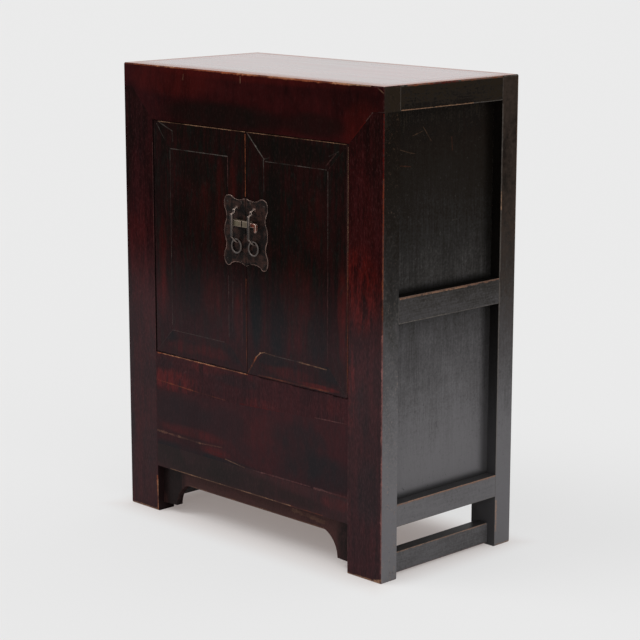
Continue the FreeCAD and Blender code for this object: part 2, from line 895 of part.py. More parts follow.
def make_plate(side, holes):
    """One half of the lock plate, with its scalloped edge."""
    outline = []
    for kind, across_share, up_share in PLATE_EDGE_SHARES:
        outline.append((kind, *plate_point(side, across_share, up_share)))
    return cut(pad("XZ", outline, (plate_face, front)), *holes)


def make_door(name, side):
    """One door: mitred frame with hidden tenons, flush panel on a keyed batten, and its ironwork."""
    stile_edge = door_outer - s.hinge_stile_width
    meeting_edge = door_inner + s.meeting_stile_width
    rail_low = door_bottom + s.door_rail_height
    rail_high = door_top - s.door_rail_height
    thickness = (front, door_back)
    corners = {
        "outer": (side * door_outer, door_bottom, door_top),
        "stile": (side * stile_edge, rail_low, rail_high),
        "meeting": (side * meeting_edge, rail_low, rail_high),
        "inner": (side * door_inner, door_bottom, door_top),
    }

    def member(first, second, third, fourth):
        ends = ((corners[key][0], corners[key][level]) for key, level in (first, second, third, fourth))
        return pad("XZ", polygon(*ends), thickness)

    # The hinge edge is rounded, so that it turns inside the opening.
    radius = s.hinge_edge_radius
    rounded = pad(
        "XY",
        [
            corner(side * door_inner, front),
            corner(side * (door_outer - radius), front),
            via(side * (door_outer - radius * ARC_MIDDLE_SHARE), front + radius * ARC_MIDDLE_SHARE),
            corner(side * door_outer, front + radius),
            corner(side * door_outer, door_back),
            corner(side * door_inner, door_back),
        ],
        (door_bottom, door_top),
    )

    tenon_y = (front + s.door_tenon_set, front + s.door_tenon_set + s.door_tenon_thickness)
    near = s.door_tenon_shoulder
    far = near + s.door_tenon_height
    tenon_heights = {
        "top": (rail_high + near, rail_high + far),
        "bottom": (rail_low - far, rail_low - near),
    }
    hinge_tenons = {
        level: box(across(side, stile_edge, stile_edge + s.door_tenon_length), tenon_y, height)
        for level, height in tenon_heights.items()
    }
    meeting_tenons = {
        level: box(across(side, meeting_edge - s.door_tenon_length, meeting_edge), tenon_y, height)
        for level, height in tenon_heights.items()
    }

    depth = s.door_tongue_depth
    panel_back = front + s.door_panel_thickness
    tongue = box(
        across(side, meeting_edge - depth, stile_edge + depth),
        (panel_back - s.door_tongue_thickness, panel_back),
        (rail_low - depth, rail_high + depth),
    )
    board = box(across(side, meeting_edge, stile_edge), (front, panel_back), (rail_low, rail_high))
    batten_middle = (door_bottom + door_top) / 2
    batten_bar = box(
        across(side, meeting_edge - s.door_batten_tenon, stile_edge + s.door_batten_tenon),
        (panel_back, door_back),
        (batten_middle - s.door_batten_height / 2, batten_middle + s.door_batten_height / 2),
    )
    key = dovetail(s.dovetail_neck / 2, panel_back, panel_back - s.door_dovetail_depth, batten_middle)
    key_outline = [(kind, y, z) for kind, z, y in key]
    batten_key = pad("YZ", key_outline, across(side, meeting_edge, stile_edge))
    batten = add(f"{name}_door_batten", fuse(batten_bar, batten_key))

    nails = add(
        f"{name}_plate_nails",
        group(*(make_nail(*plate_point(side, *shares)) for shares in NAIL_PLACE_SHARES)),
    )
    staple = add(f"{name}_staple", make_staple(side))
    ironwork = (nails, staple)
    add(f"{name}_lock_plate", make_plate(side, ironwork))
    add(f"{name}_pin_keeper", make_keeper(side, keeper_lengths[name]))
    add(f"{name}_ring", make_ring(side))

    low, high = 1, 2
    hinge_stile = member(("outer", low), ("outer", high), ("stile", high), ("stile", low))
    meeting_stile = member(("inner", low), ("inner", high), ("meeting", high), ("meeting", low))
    top_rail = member(("outer", high), ("inner", high), ("meeting", high), ("stile", high))
    bottom_rail = member(("outer", low), ("inner", low), ("meeting", low), ("stile", low))
    lower_pivot, upper_pivot = pivots[side]

    whole = fuse(common(hinge_stile, rounded), lower_pivot, upper_pivot)
    add(f"{name}_hinge_stile", cut(whole, tongue, batten, *hinge_tenons.values()))
    add(
        f"{name}_meeting_stile",
        cut(meeting_stile, tongue, batten, *ironwork, *meeting_tenons.values()),
    )
    for level, rail, pivot in (("top", top_rail, upper_pivot), ("bottom", bottom_rail, lower_pivot)):
        whole = fuse(common(rail, rounded), hinge_tenons[level], meeting_tenons[level])
        add(f"{name}_door_{level}_rail", cut(whole, tongue, pivot))
    add(f"{name}_door_panel", cut(fuse(board, tongue), batten, nails))


for name, side in SIDES.items():
    make_door(name, side)


def check_model():
    """Stop if any object failed, or any sub-part has no sound shape."""
    doc.recompute()
    for item in doc.Objects:
        if "Invalid" in item.State or "Error" in item.State:
            raise RuntimeError(f"{item.Name} ({item.Label}) failed: {item.State}")
    for piece in subparts:
        if piece.Shape.isNull() or not piece.Shape.isValid() or not piece.Shape.Solids:
            raise RuntimeError(f"{piece.Label} has no sound solid")


def write_subparts():
    """Write each sub-part's shape under its own name."""
    os.makedirs("parts", exist_ok=True)
    for piece in subparts:
        piece.Shape.exportStep(f"parts/{piece.Label}.step")


check_model()
write_subparts()
print(len(subparts), "sub-parts,", sum(len(piece.Shape.Solids) for piece in subparts), "solids")
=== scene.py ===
"""The looks of a kang cabinet: worn lacquer, bare wood inside, forged iron, soft studio light."""

import json
import math

import bmesh
import bpy
from mathutils import Matrix, Vector

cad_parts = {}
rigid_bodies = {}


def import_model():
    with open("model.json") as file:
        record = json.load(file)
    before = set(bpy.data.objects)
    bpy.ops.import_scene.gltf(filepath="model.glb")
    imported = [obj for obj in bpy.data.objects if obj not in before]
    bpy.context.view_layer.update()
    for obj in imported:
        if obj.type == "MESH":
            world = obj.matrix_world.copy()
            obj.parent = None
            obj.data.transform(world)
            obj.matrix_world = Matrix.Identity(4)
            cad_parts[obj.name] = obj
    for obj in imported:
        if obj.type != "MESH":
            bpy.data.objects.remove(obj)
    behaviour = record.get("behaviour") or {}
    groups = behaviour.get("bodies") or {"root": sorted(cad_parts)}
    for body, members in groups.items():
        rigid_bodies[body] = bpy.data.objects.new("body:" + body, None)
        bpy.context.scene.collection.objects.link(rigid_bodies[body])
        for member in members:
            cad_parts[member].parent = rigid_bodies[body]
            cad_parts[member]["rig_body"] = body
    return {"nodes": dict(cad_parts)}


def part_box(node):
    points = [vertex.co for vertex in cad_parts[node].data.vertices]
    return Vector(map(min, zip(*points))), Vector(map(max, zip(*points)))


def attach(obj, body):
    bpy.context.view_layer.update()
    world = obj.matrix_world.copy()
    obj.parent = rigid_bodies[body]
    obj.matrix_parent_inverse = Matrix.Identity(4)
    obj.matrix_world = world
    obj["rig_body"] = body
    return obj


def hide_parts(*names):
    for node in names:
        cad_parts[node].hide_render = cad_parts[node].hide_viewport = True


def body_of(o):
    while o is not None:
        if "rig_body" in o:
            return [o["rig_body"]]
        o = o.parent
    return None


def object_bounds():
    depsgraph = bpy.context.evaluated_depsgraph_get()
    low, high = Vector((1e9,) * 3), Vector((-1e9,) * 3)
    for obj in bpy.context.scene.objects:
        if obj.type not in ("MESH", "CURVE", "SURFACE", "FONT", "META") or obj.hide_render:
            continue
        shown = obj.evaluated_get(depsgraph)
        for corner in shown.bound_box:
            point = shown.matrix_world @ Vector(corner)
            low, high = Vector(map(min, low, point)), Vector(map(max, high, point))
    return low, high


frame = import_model()
cad_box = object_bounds()

MM = 0.001
LOW, HIGH = (Vector(corner) for corner in cad_box)
CASE_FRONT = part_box("front_left_post")[0][1]
MIDDLE_DEPTH = (CASE_FRONT + HIGH.y) / 2
CASE_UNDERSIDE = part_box("front_bottom_rail")[0][2]
TOP_RAIL_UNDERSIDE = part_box("right_top_rail")[0][2]
POST_INNER_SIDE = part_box("front_right_post")[0][0]
REAR_POST_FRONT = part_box("rear_right_post")[0][1]
PANEL_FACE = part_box("right_upper_side_panel")[1][0]
REAR_PANEL_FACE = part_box("rear_upper_panel")[1][1]
PLATE_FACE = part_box("left_lock_plate")[0][1]

# The painted grey reflection of the floor starts to show below the first of these heights, and is full
# below the second.
REFLECTION_START, REFLECTION_FULL = 0.54, 0.36
# The ironwork's bright edges get a painted highlight that grows between these heights and is strongest
# above them, on the upper parts that face the light.
HIGHLIGHT_FROM, HIGHLIGHT_TO = 0.56, 0.605

# How far apart doubled points lie, and the angles between faces that count as flat, soft and sharp.
DOUBLES = 0.002 * MM
FLAT, SOFT, SHARP = (math.radians(angle) for angle in (1, 40, 50))

# Colours on a scale of 0 to 255.
NIGHT_RED = (20, 6, 6)
DEEP_RED = (33, 11, 10)
WINE_RED = (47, 12, 12)
GLOWING_RED = (92, 22, 16)
GREEN_BLACK = (13, 11, 9)
BROWN_BLACK = (24, 12, 10)
# Grey added to the front's red low down: a painted reflection of the pale floor.
FLOOR_REFLECTION_GREY = (34, 20, 24)
DUSTY_BROWN = (70, 50, 42)
WORN_ORANGE = (150, 84, 56)
WORN_UMBER = (132, 98, 80)
WORN_TAN = (178, 136, 106)
WORN_PINK = (138, 96, 92)
WORN_GREY = (110, 104, 98)
# Near black for soot, dark specks and joints, and for the painted shade in the side's recesses.
SOOT_AND_SHADE = (8, 7, 6)
SLATE = (27, 28, 31)
MOSS = (20, 20, 17)
DUSKY_BROWN = (30, 22, 22)
TOP_RED = (116, 40, 34)
TOP_BROWN = (90, 42, 36)
END_GRAIN = (58, 48, 42)
BARE_WOOD = (146, 104, 70)
BARE_WOOD_DARK = (98, 66, 44)
IRON = (48, 38, 34)
IRON_BROWN = (78, 56, 48)
IRON_STAINED = (54, 36, 31)
IRON_PINK = (112, 88, 80)
IRON_DARK = (20, 16, 15)
IRON_KHAKI = (96, 88, 72)
# Near white for the iron's edges: rubbed bright, and a painted highlight.
IRON_RUBBED_AND_HIGHLIT = (206, 184, 172)
RUST = (128, 58, 40)
PALE_PAPER = (235, 235, 235)
WARM_SHADE = (221, 208, 203)
STUDIO_GREY = (187.5, 187.5, 187.5)

# The side lacquer's colour at shares of the cabinet's height: near black above, grey below, where a
# reflection of the pale floor is painted in.
SIDE_COLOURS_AND_REFLECTION = (
    (0.00, (108, 106, 108)),
    (0.10, (106, 104, 107)),
    (0.22, (104, 102, 104)),
    (0.30, (97, 95, 97)),
    (0.38, (85, 83, 84)),
    (0.46, (71, 69, 70)),
    (0.52, (64, 62, 62)),
    (0.57, (54, 52, 50)),
    (0.62, (44, 42, 41)),
    (0.67, (39, 37, 35)),
    (0.74, (32, 28, 25)),
    (0.81, (29, 25, 21)),
    (0.88, (27, 21, 17)),
    (0.93, (20, 17, 14)),
    (0.96, (36, 31, 27)),
    (1.00, (36, 29, 21)),
)


def linear(colour):
    """A colour's linear value, with full alpha."""
    shares = (channel / 255 for channel in colour)
    return tuple(c / 12.92 if c <= 0.04045 else ((c + 0.055) / 1.055) ** 2.4 for c in shares) + (1.0,)


class Wire:
    """A socket of a node tree. Arithmetic on wires adds the Math nodes."""

    def __init__(self, wiring, socket):
        self.wiring = wiring
        self.socket = socket

    def math(self, operation, *values, clamp=False):
        settings = {"operation": operation, "use_clamp": clamp}
        return self.wiring.node("ShaderNodeMath", settings, dict(enumerate(values)))

    def __add__(self, other):
        return self.math("ADD", self, other)

    def __radd__(self, other):
        return self.math("ADD", other, self)

    def __sub__(self, other):
        return self.math("SUBTRACT", self, other)

    def __rsub__(self, other):
        return self.math("SUBTRACT", other, self)

    def __mul__(self, other):
        return self.math("MULTIPLY", self, other)

    def __rmul__(self, other):
        return self.math("MULTIPLY", other, self)

    def __truediv__(self, other):
        return self.math("DIVIDE", self, other)

    def __abs__(self):
        return self.math("ABSOLUTE", self)

    def least(self, other):
        return self.math("MINIMUM", self, other)

    def most(self, other):
        return self.math("MAXIMUM", self, other)

    def held(self):
        """The value kept between 0 and 1."""
        return self.math("ADD", self, 0.0, clamp=True)

    def ramp(self, start, end):
        """0 before start, 1 after end, and smooth between. The end may lie before the start."""
        settings = {"interpolation_type": "SMOOTHSTEP", "clamp": True}
        inputs = {"Value": self, "From Min": start, "From Max": end}
        if end < start:
            inputs.update({"From Min": end, "From Max": start, "To Min": 1.0, "To Max": 0.0})
        return self.wiring.node("ShaderNodeMapRange", settings, inputs)


class Wiring:
    """A node tree, emptied, with one method that adds its nodes."""

    def __init__(self, tree):
        self.tree = tree
        self.tree.nodes.clear()

    def node(self, kind, settings=None, inputs=None, out=0):
        """Add any node: its settings first, then the values or wires of its sockets."""
        added = self.tree.nodes.new(kind)
        for name, setting in (settings or {}).items():
            if name == "stops":
                self.set_stops(added.color_ramp.elements, setting)
            else:
                setattr(added, name, setting)
        for name, value in (inputs or {}).items():
            if isinstance(value, Wire):
                self.tree.links.new(value.socket, added.inputs[name])
            else:
                added.inputs[name].default_value = value
        return Wire(self, added.outputs[out]) if len(added.outputs) else None

    @staticmethod
    def set_stops(elements, stops):
        while len(elements) < len(stops):
            elements.new(0.5)
        for element, (position, colour) in zip(elements, stops):
            element.position = position
            element.color = linear(colour)

    def blend(self, share, first, second, way="MIX"):
        """Lay a second colour over a first, by this share."""
        inputs = {"Factor": share}
        for name, value in ((6, first), (7, second)):
            inputs[name] = value if isinstance(value, Wire) else linear(value)
        settings = {"data_type": "RGBA", "blend_type": way, "clamp_factor": True}
        return self.node("ShaderNodeMix", settings, inputs, out=2)


class Finish(Wiring):
    """A procedural material, read on Object coordinates."""

    def __init__(self, name):
        self.material = bpy.data.materials.new(name)
        self.material.use_nodes = True
        super().__init__(self.material.node_tree)
        self.place = self.node("ShaderNodeTexCoord", out="Object")
        self.x, self.y, self.z = self.axes(self.place)
        self.face = self.axes(self.node("ShaderNodeTexCoord", out="Normal"))
        self.up = self.z / MM

    def axes(self, vector):
        """The three numbers of a vector."""
        outputs = self.node("ShaderNodeSeparateXYZ", inputs={0: vector}).socket.node.outputs
        return tuple(Wire(self, outputs[axis]) for axis in "XYZ")

    def noise(self, scale, stretch=(1, 1, 1), seed=0.0, detail=3.0, roughness=0.55, warp=0.0):
        """Noise about a half, with this many features to the metre along each axis."""
        shift = (seed * 1.7, seed * 2.3, seed * 3.1)
        mapping = {"Vector": self.place, "Scale": stretch, "Location": shift}
        inputs = {
            "Vector": self.node("ShaderNodeMapping", inputs=mapping),
            "Scale": scale,
            "Detail": detail,
            "Roughness": roughness,
            "Distortion": warp,
        }
        return self.node("ShaderNodeTexNoise", inputs=inputs)

    def oval(self, middle, reach):
        """A soft oval patch on a face, 1 in its middle and 0 outside. Its sizes are in millimetres."""
        a = self.across.math("MULTIPLY_ADD", self.across, 1 / reach[0], -middle[0] / reach[0])
        b = self.up.math("MULTIPLY_ADD", self.up, 1 / reach[1], -middle[1] / reach[1])
        return (a * a + b * b).ramp(1.0, 0.15)

    def line(self, start, end, wide, strength):
        """A worn line on a face between two points, broken by the ragged noise. In millimetres."""
        run = (end[0] - start[0], end[1] - start[1])
        length = math.hypot(*run)
        a, b = run[0] / length, run[1] / length
        middle = ((start[0] + end[0]) / 2, (start[1] + end[1]) / 2)
        beyond = abs(self.slope(a, b, middle)) - length / 2
        off = abs(self.slope(-b, a, middle)).most(beyond)
        broken = off.math("MULTIPLY_ADD", self.ragged, wide * 3.2, off)
        return broken.ramp(wide * 2.75, wide * 2.0) * strength

    def slope(self, a, b, middle):
        """A distance measured over a face along one direction, from a point."""
        part = self.across.math("MULTIPLY_ADD", self.across, a, -a * middle[0] - b * middle[1])
        return self.up.math("MULTIPLY_ADD", self.up, b, part)

    def lay_wear(self, colour, worn, rows, patchy):
        """Lay worn lines over a colour, and add them to the share that is worn."""
        for tint, strength, wide, start, end in rows:
            mark = self.line(start, end, wide, strength) * patchy
            colour = self.blend(mark, colour, tint)
            worn = worn.most(mark)
        return colour, worn

    def lay_bare_wood(self, colour):
        """Leave the faces that look into the case as bare wood. The second value is 1 on them."""
        inward = self.inward()
        wood = self.blend(self.streak.ramp(0.35, 0.7), BARE_WOOD_DARK, BARE_WOOD)
        return self.blend(inward, colour, wood), inward

    def bump(self, height, distance, strength):
        inputs = {"Height": height, "Distance": distance, "Strength": strength}
        return self.node("ShaderNodeBump", inputs=inputs, out="Normal")

    def shade(self, **inputs):
        """The shader itself. Underscores stand for spaces."""
        named = {name.replace("_", " "): value for name, value in inputs.items()}
        shader = self.node("ShaderNodeBsdfPrincipled", inputs=named)
        self.node("ShaderNodeOutputMaterial", inputs={"Surface": shader})
        return self.material

    def arris(self):
        """1 on rounded edges, 0 on faces square to an axis."""
        x, y, z = (abs(axis) for axis in self.face)
        return x.most(y).most(z).ramp(0.997, 0.96)

    def inward(self):
        """1 on faces that look into the case, 0 on faces seen from outside."""
        outlook = self.x * self.face[0] + (self.y - MIDDLE_DEPTH) * self.face[1]
        within = abs(self.x).ramp(PANEL_FACE - 0.5 * MM, PANEL_FACE - 1.5 * MM)
        above = self.z.ramp(CASE_UNDERSIDE + 1 * MM, CASE_UNDERSIDE + 3 * MM)
        looks_back = self.face[1].ramp(0.7, 0.9)
        behind = self.y.ramp(CASE_FRONT + 18 * MM, CASE_FRONT + 20 * MM).most(looks_back)
        before = self.y.ramp(REAR_PANEL_FACE - 0.5 * MM, REAR_PANEL_FACE - 1.5 * MM)
        return outlook.ramp(-0.01, -0.03) * within * above * behind * before

    def side_colour_and_reflection(self, lift=0.0):
        """The side lacquer's colour for this height, with the floor's reflection painted in low down."""
        height = (self.z - LOW.z) / (HIGH.z - LOW.z) - lift
        settings = {"stops": SIDE_COLOURS_AND_REFLECTION}
        return self.node("ShaderNodeValToRGB", settings, {"Fac": height}, out="Color")


# How far the grain and the broader smears are drawn out along each axis.
GRAIN = {"x": (0.06, 1, 1), "y": (1, 0.06, 1), "z": (1, 1, 0.06)}
SMEAR = {"x": (0.25, 1, 1), "y": (1, 0.25, 1), "z": (1, 1, 0.25)}

# Where the front's lacquer glows red or has gone dark: (middle, reach, strength) in millimetres.
GLOWS = {
    "front_top_rail": (
        ((-200, 815), (150, 34), 0.3),
        ((285, 765), (60, 60), 0.35),
        ((0, 838), (340, 16), 0.3),
    ),
    "front_right_post": (((275, 500), (60, 90), 0.5), ((258, 330), (14, 90), 0.4)),
    "front_left_post": (((-300, 500), (40, 120), 0.12),),
    "front_sill_rail": (
        ((-210, 262), (90, 26), 0.55),
        ((-110, 300), (60, 12), 0.25),
        ((30, 258), (60, 14), 0.3),
        ((210, 290), (30, 20), 0.15),
    ),
    "front_lower_panel": (
        ((30, 210), (60, 45), 0.15),
        ((-150, 172), (110, 12), 0.35),
        ((160, 200), (40, 40), 0.1),
        ((-90, 148), (50, 10), 0.3),
        ((230, 128), (40, 16), 0.2),
    ),
    "front_bottom_rail": (((225, 118), (50, 14), 0.3),),
    "left_door_panel": (
        ((-66, 590), (20, 110), 0.2),
        ((-110, 600), (24, 60), 0.1),
        ((-90, 430), (30, 50), 0.2),
    ),
    "left_meeting_stile": (((-22, 410), (16, 60), 0.35), ((-36, 640), (12, 60), 0.2)),
    "left_hinge_stile": (((-228, 500), (14, 80), 0.25), ((-230, 420), (20, 60), 0.25)),
    "left_door_bottom_rail": (((-90, 333), (60, 14), 0.3), ((-170, 330), (50, 14), 0.25)),
    "right_door_panel": (
        ((165, 600), (36, 70), 0.08),
        ((130, 470), (50, 80), 0.12),
        ((120, 390), (34, 30), 0.12),
    ),
    "right_hinge_stile": (((238, 465), (14, 75), 0.45), ((240, 390), (12, 30), 0.2)),
    "right_door_bottom_rail": (((110, 328), (70, 14), 0.25), ((180, 317), (60, 6), 0.7)),
}
SHADES = {
    "front_top_rail": (((-60, 762), (200, 30), 0.9), ((170, 765), (90, 26), 0.7)),
    "front_left_post": (
        ((-322, 660), (14, 160), 0.5),
        ((-326, 300), (12, 300), 0.5),
        ((-300, 760), (50, 90), 0.5),
        ((-270, 120), (30, 60), 0.3),
    ),
    "front_right_post": (
        ((316, 700), (18, 120), 0.3),
        ((300, 150), (34, 70), 0.5),
        ((290, 300), (20, 60), 0.4),
    ),
    "front_sill_rail": (((-30, 290), (70, 14), 0.5), ((-230, 290), (30, 18), 0.5)),
    "front_lower_panel": (
        ((-195, 205), (120, 40), 0.6),
        ((-60, 205), (80, 40), 0.4),
        ((180, 165), (110, 44), 0.8),
        ((130, 215), (90, 34), 0.45),
        ((-190, 128), (160, 20), 0.9),
        ((-60, 132), (130, 12), 0.7),
    ),
    "front_bottom_rail": (
        ((-150, 122), (190, 50), 1.0),
        ((0, 108), (170, 24), 0.8),
        ((130, 104), (90, 14), 0.6),
    ),
    "front_apron": (((-225, 60), (44, 90), 1.4), ((240, 50), (34, 60), 1.0)),
    "right_meeting_stile": (((24, 430), (20, 100), 1.0),),
    "left_door_bottom_rail": (((-20, 340), (40, 24), 0.9), ((-215, 350), (30, 20), 0.7)),
    "left_door_panel": (((-150, 440), (40, 60), 0.6), ((-130, 660), (70, 30), 0.5)),
    "right_door_panel": (
        ((80, 400), (30, 80), 0.9),
        ((70, 620), (26, 90), 0.8),
        ((180, 400), (30, 60), 0.8),
    ),
    "right_door_bottom_rail": (((60, 345), (60, 14), 0.7), ((215, 345), (40, 24), 0.8)),
    "right_door_top_rail": (((120, 718), (130, 24), 0.7),),
}

# Lines worn into the front's lacquer: (colour, strength, half width, then the points) in millimetres.
FRONT_WEAR = {
    "front_top_rail": (
        (WORN_ORANGE, 0.8, 1.8, (-331, 839), (-40, 839)),
        (WORN_TAN, 0.8, 1.2, (-250, 839.5), (-190, 839.5)),
        (WORN_ORANGE, 1.0, 2.4, (-60, 838.8), (250, 838.8)),
        (WORN_TAN, 0.9, 1.4, (-20, 839.5), (120, 839.5)),
        (WORN_TAN, 0.9, 1.8, (215, 839), (300, 839.5)),
        (WORN_TAN, 0.25, 1.0, (318, 837), (330, 830)),
        (WORN_TAN, 0.35, 0.8, (-164, 829), (-165, 818)),
        (WORN_TAN, 0.5, 0.7, (-13, 835), (-13, 823)),
        (WORN_GREY, 0.35, 1.0, (305, 796), (331, 799)),
        (GLOWING_RED, 0.4, 1.6, (262, 752), (290, 780)),
        (WORN_GREY, 0.25, 1.2, (292, 782), (306, 796)),
        (SOOT_AND_SHADE, 0.8, 0.9, (-252, 741.5), (252, 741.5)),
    ),
    "front_left_post": (
        (WORN_ORANGE, 0.8, 2.4, (-254, 68), (-253, 2)),
        (WORN_TAN, 0.6, 1.4, (-253, 60), (-253, 6)),
        (WORN_PINK, 0.2, 0.9, (-253, 700), (-253, 310)),
        (WORN_TAN, 0.6, 2.6, (-330, 1.5), (-254, 1.5)),
        (WORN_GREY, 1.0, 1.0, (-266, 772), (-259, 760)),
        (WORN_ORANGE, 0.35, 1.2, (-331.5, 200), (-331.5, 4)),
    ),
    "front_right_post": (
        (WORN_ORANGE, 0.6, 1.5, (331.5, 690), (331.5, 400)),
        (WORN_PINK, 0.95, 2.0, (331.5, 430), (331.5, 20)),
        (GLOWING_RED, 0.7, 1.5, (331.5, 795), (331.5, 600)),
        (WORN_PINK, 0.35, 0.9, (253, 230), (253, 2)),
        (WORN_TAN, 0.7, 2.4, (254, 1.5), (330, 1.5)),
        (WORN_TAN, 0.6, 3.0, (318, 3), (330, 6)),
        (SOOT_AND_SHADE, 0.5, 0.8, (252.5, 740), (252.5, 310)),
    ),
    "front_sill_rail": (
        (WORN_ORANGE, 0.8, 1.3, (-246, 308), (0, 308)),
        (WORN_TAN, 0.8, 0.9, (-232, 308.6), (-4, 308.6)),
        (SOOT_AND_SHADE, 0.9, 1.3, (30, 308.4), (250, 308.4)),
        (WORN_ORANGE, 0.4, 1.4, (-252, 256), (-150, 252)),
        (WORN_ORANGE, 0.2, 1.0, (-150, 252), (-60, 250)),
        (GLOWING_RED, 0.5, 1.4, (-20, 251), (84, 255)),
        (WORN_PINK, 0.35, 1.0, (172, 261.5), (248, 264.5)),
        (WORN_PINK, 0.2, 2.0, (-172, 282), (-168, 285)),
    ),
    "front_lower_panel": (
        (WORN_UMBER, 0.4, 2.2, (-252, 158), (-187, 157)),
        (WORN_UMBER, 0.4, 1.8, (-190, 157), (-130, 156)),
        (WORN_UMBER, 0.35, 1.4, (-132, 156), (-70, 160)),
        (GLOWING_RED, 0.5, 1.0, (-110, 149), (-70, 147)),
        (GLOWING_RED, 0.4, 1.0, (-96, 142), (-60, 141)),
        (WORN_TAN, 0.35, 1.1, (-60, 140), (-10, 134.5)),
        (WORN_PINK, 0.35, 1.0, (-10, 134.5), (40, 134.5)),
        (WORN_PINK, 0.3, 1.4, (37, 135), (160, 135.5)),
        (WORN_PINK, 0.45, 1.9, (170, 135), (250, 134.8)),
    ),
    "front_bottom_rail": (
        (WORN_TAN, 0.55, 1.0, (-215, 90), (-130, 90)),
        (WORN_TAN, 0.4, 0.8, (-130, 90), (-30, 90)),
        (WORN_TAN, 0.6, 1.1, (-28, 90), (110, 90)),
        (WORN_ORANGE, 0.3, 1.0, (110, 90), (190, 90)),
    ),
    "front_apron": (
        (WORN_TAN, 0.16, 4.5, (105, 78), (180, 73)),
        (WORN_TAN, 0.3, 1.0, (-178, 62), (180, 62)),
    ),
    "left_hinge_stile": (
        (WORN_ORANGE, 0.8, 1.0, (-250.5, 738), (-250.5, 330)),
        (WORN_GREY, 0.35, 1.0, (-236, 740), (-206, 708)),
        (WORN_GREY, 0.3, 0.9, (-224, 738), (-204, 718)),
        (WORN_GREY, 0.15, 0.8, (-250, 311), (-205, 356)),
    ),
    "left_door_top_rail": (
        (WORN_TAN, 0.6, 0.9, (-236, 739.5), (-2, 739.5)),
        (WORN_GREY, 0.35, 1.0, (-236, 739), (-197, 725)),
        (WORN_GREY, 0.4, 0.9, (-197, 725), (-195, 706)),
        (WORN_GREY, 0.3, 0.9, (-240, 735), (-212, 700)),
    ),
    "left_door_panel": (
        (WORN_GREY, 0.55, 0.8, (-203, 692.5), (-48, 692.5)),
        (WORN_GREY, 0.4, 0.7, (-203.5, 690), (-203.5, 368)),
        (WORN_PINK, 0.4, 0.8, (-47.5, 690), (-47.5, 640)),
        (WORN_GREY, 0.3, 0.7, (-47.5, 480), (-47.5, 370)),
        (WORN_GREY, 0.25, 0.8, (-203, 357.5), (-60, 357.5)),
    ),
    "left_meeting_stile": (
        (WORN_ORANGE, 0.7, 1.2, (-1.4, 735), (-1.4, 628)),
        (WORN_ORANGE, 0.55, 1.1, (-1.4, 480), (-1.4, 320)),
        (WORN_PINK, 0.3, 1.1, (-14, 470), (-12, 360)),
        (WORN_GREY, 0.2, 1.0, (-36, 470), (-38, 380)),
    ),
    "left_door_bottom_rail": (
        (SOOT_AND_SHADE, 0.8, 1.2, (-250, 311), (-2, 311)),
    ),
    "right_meeting_stile": (
        (WORN_GREY, 0.5, 0.9, (45, 695), (46, 640)),
        (WORN_ORANGE, 0.8, 2.0, (2, 312), (12, 326)),
        (WORN_ORANGE, 0.8, 1.8, (12, 326), (24, 344)),
        (WORN_TAN, 0.7, 1.2, (24, 344), (34, 352.5)),
        (WORN_TAN, 0.6, 1.0, (34, 352.5), (46, 356)),
        (SOOT_AND_SHADE, 0.5, 0.8, (1.4, 500), (1.4, 320)),
    ),
    "right_door_top_rail": (
        (WORN_TAN, 0.5, 0.8, (2, 739.5), (246, 739.5)),
        (WORN_GREY, 0.8, 1.2, (3, 739), (26, 716)),
        (WORN_GREY, 0.8, 1.3, (26, 716), (47, 696)),
        (WORN_GREY, 0.5, 1.2, (47, 697), (60, 700)),
        (WORN_PINK, 0.3, 1.2, (199, 700), (222, 722)),
        (WORN_GREY, 0.25, 0.9, (206, 716), (228, 726)),
    ),
    "right_door_panel": (
        (WORN_GREY, 0.45, 0.8, (50, 692.8), (200, 692.8)),
        (WORN_GREY, 0.35, 0.8, (203.2, 690), (203.2, 560)),
        (WORN_PINK, 0.2, 0.8, (203.2, 560), (203.2, 370)),
    ),
    "right_hinge_stile": (
        (WORN_TAN, 0.45, 0.8, (249.8, 735), (249.8, 560)),
        (WORN_ORANGE, 0.5, 1.1, (249.8, 560), (249.8, 320)),
        (WORN_GREY, 0.35, 0.8, (206, 354), (249, 312)),
        (WORN_GREY, 0.35, 1.0, (206, 696), (230, 722)),
        (WORN_GREY, 0.2, 0.8, (230, 722), (248, 738)),
    ),
    "right_door_bottom_rail": (
        (WORN_TAN, 0.6, 1.0, (47, 355), (72, 353.5)),
        (WORN_GREY, 0.35, 0.9, (72, 353.5), (135, 353)),
        (WORN_TAN, 0.35, 1.3, (128, 353), (200, 351)),
        (WORN_ORANGE, 0.35, 1.6, (30, 312), (205, 313.5)),
    ),
}


def red_lacquer(finish, node, dark, brown, grainy):
    """The red itself, gone dark in places, with its glows."""
    cloud, smear, mottle, streak = finish.cloud, finish.smear, finish.mottle, finish.streak
    tone = cloud * 0.5 + smear * 0.3 + mottle * 0.2 + (streak - 0.5) * 0.25 * grainy
    red = finish.blend(tone.ramp(0.34, 0.64), NIGHT_RED, DEEP_RED if dark > 0.8 else WINE_RED)
    if dark:
        black = finish.blend(streak.ramp(0.42, 0.62), GREEN_BLACK, BROWN_BLACK)
        gone_dark = (mottle * 0.4 + cloud * 0.3 + streak * 0.3).ramp(0.66, 0.4)
        red = finish.blend(gone_dark * dark, red, black)
        red = finish.blend(mottle.ramp(0.5, 0.35) * dark * 0.6, red, MOSS)
    if brown:
        red = finish.blend(brown, red, DUSTY_BROWN)
    for middle, reach, strength in GLOWS.get(node, ()):
        uneven = (mottle - 0.5) * 2.4 * grainy + (streak - 0.5) * 1.6 * grainy + (smear - 0.5) + 0.55
        glow = finish.oval(middle, reach) * uneven.held()
        red = finish.blend(glow * strength, red, GLOWING_RED)
    return red


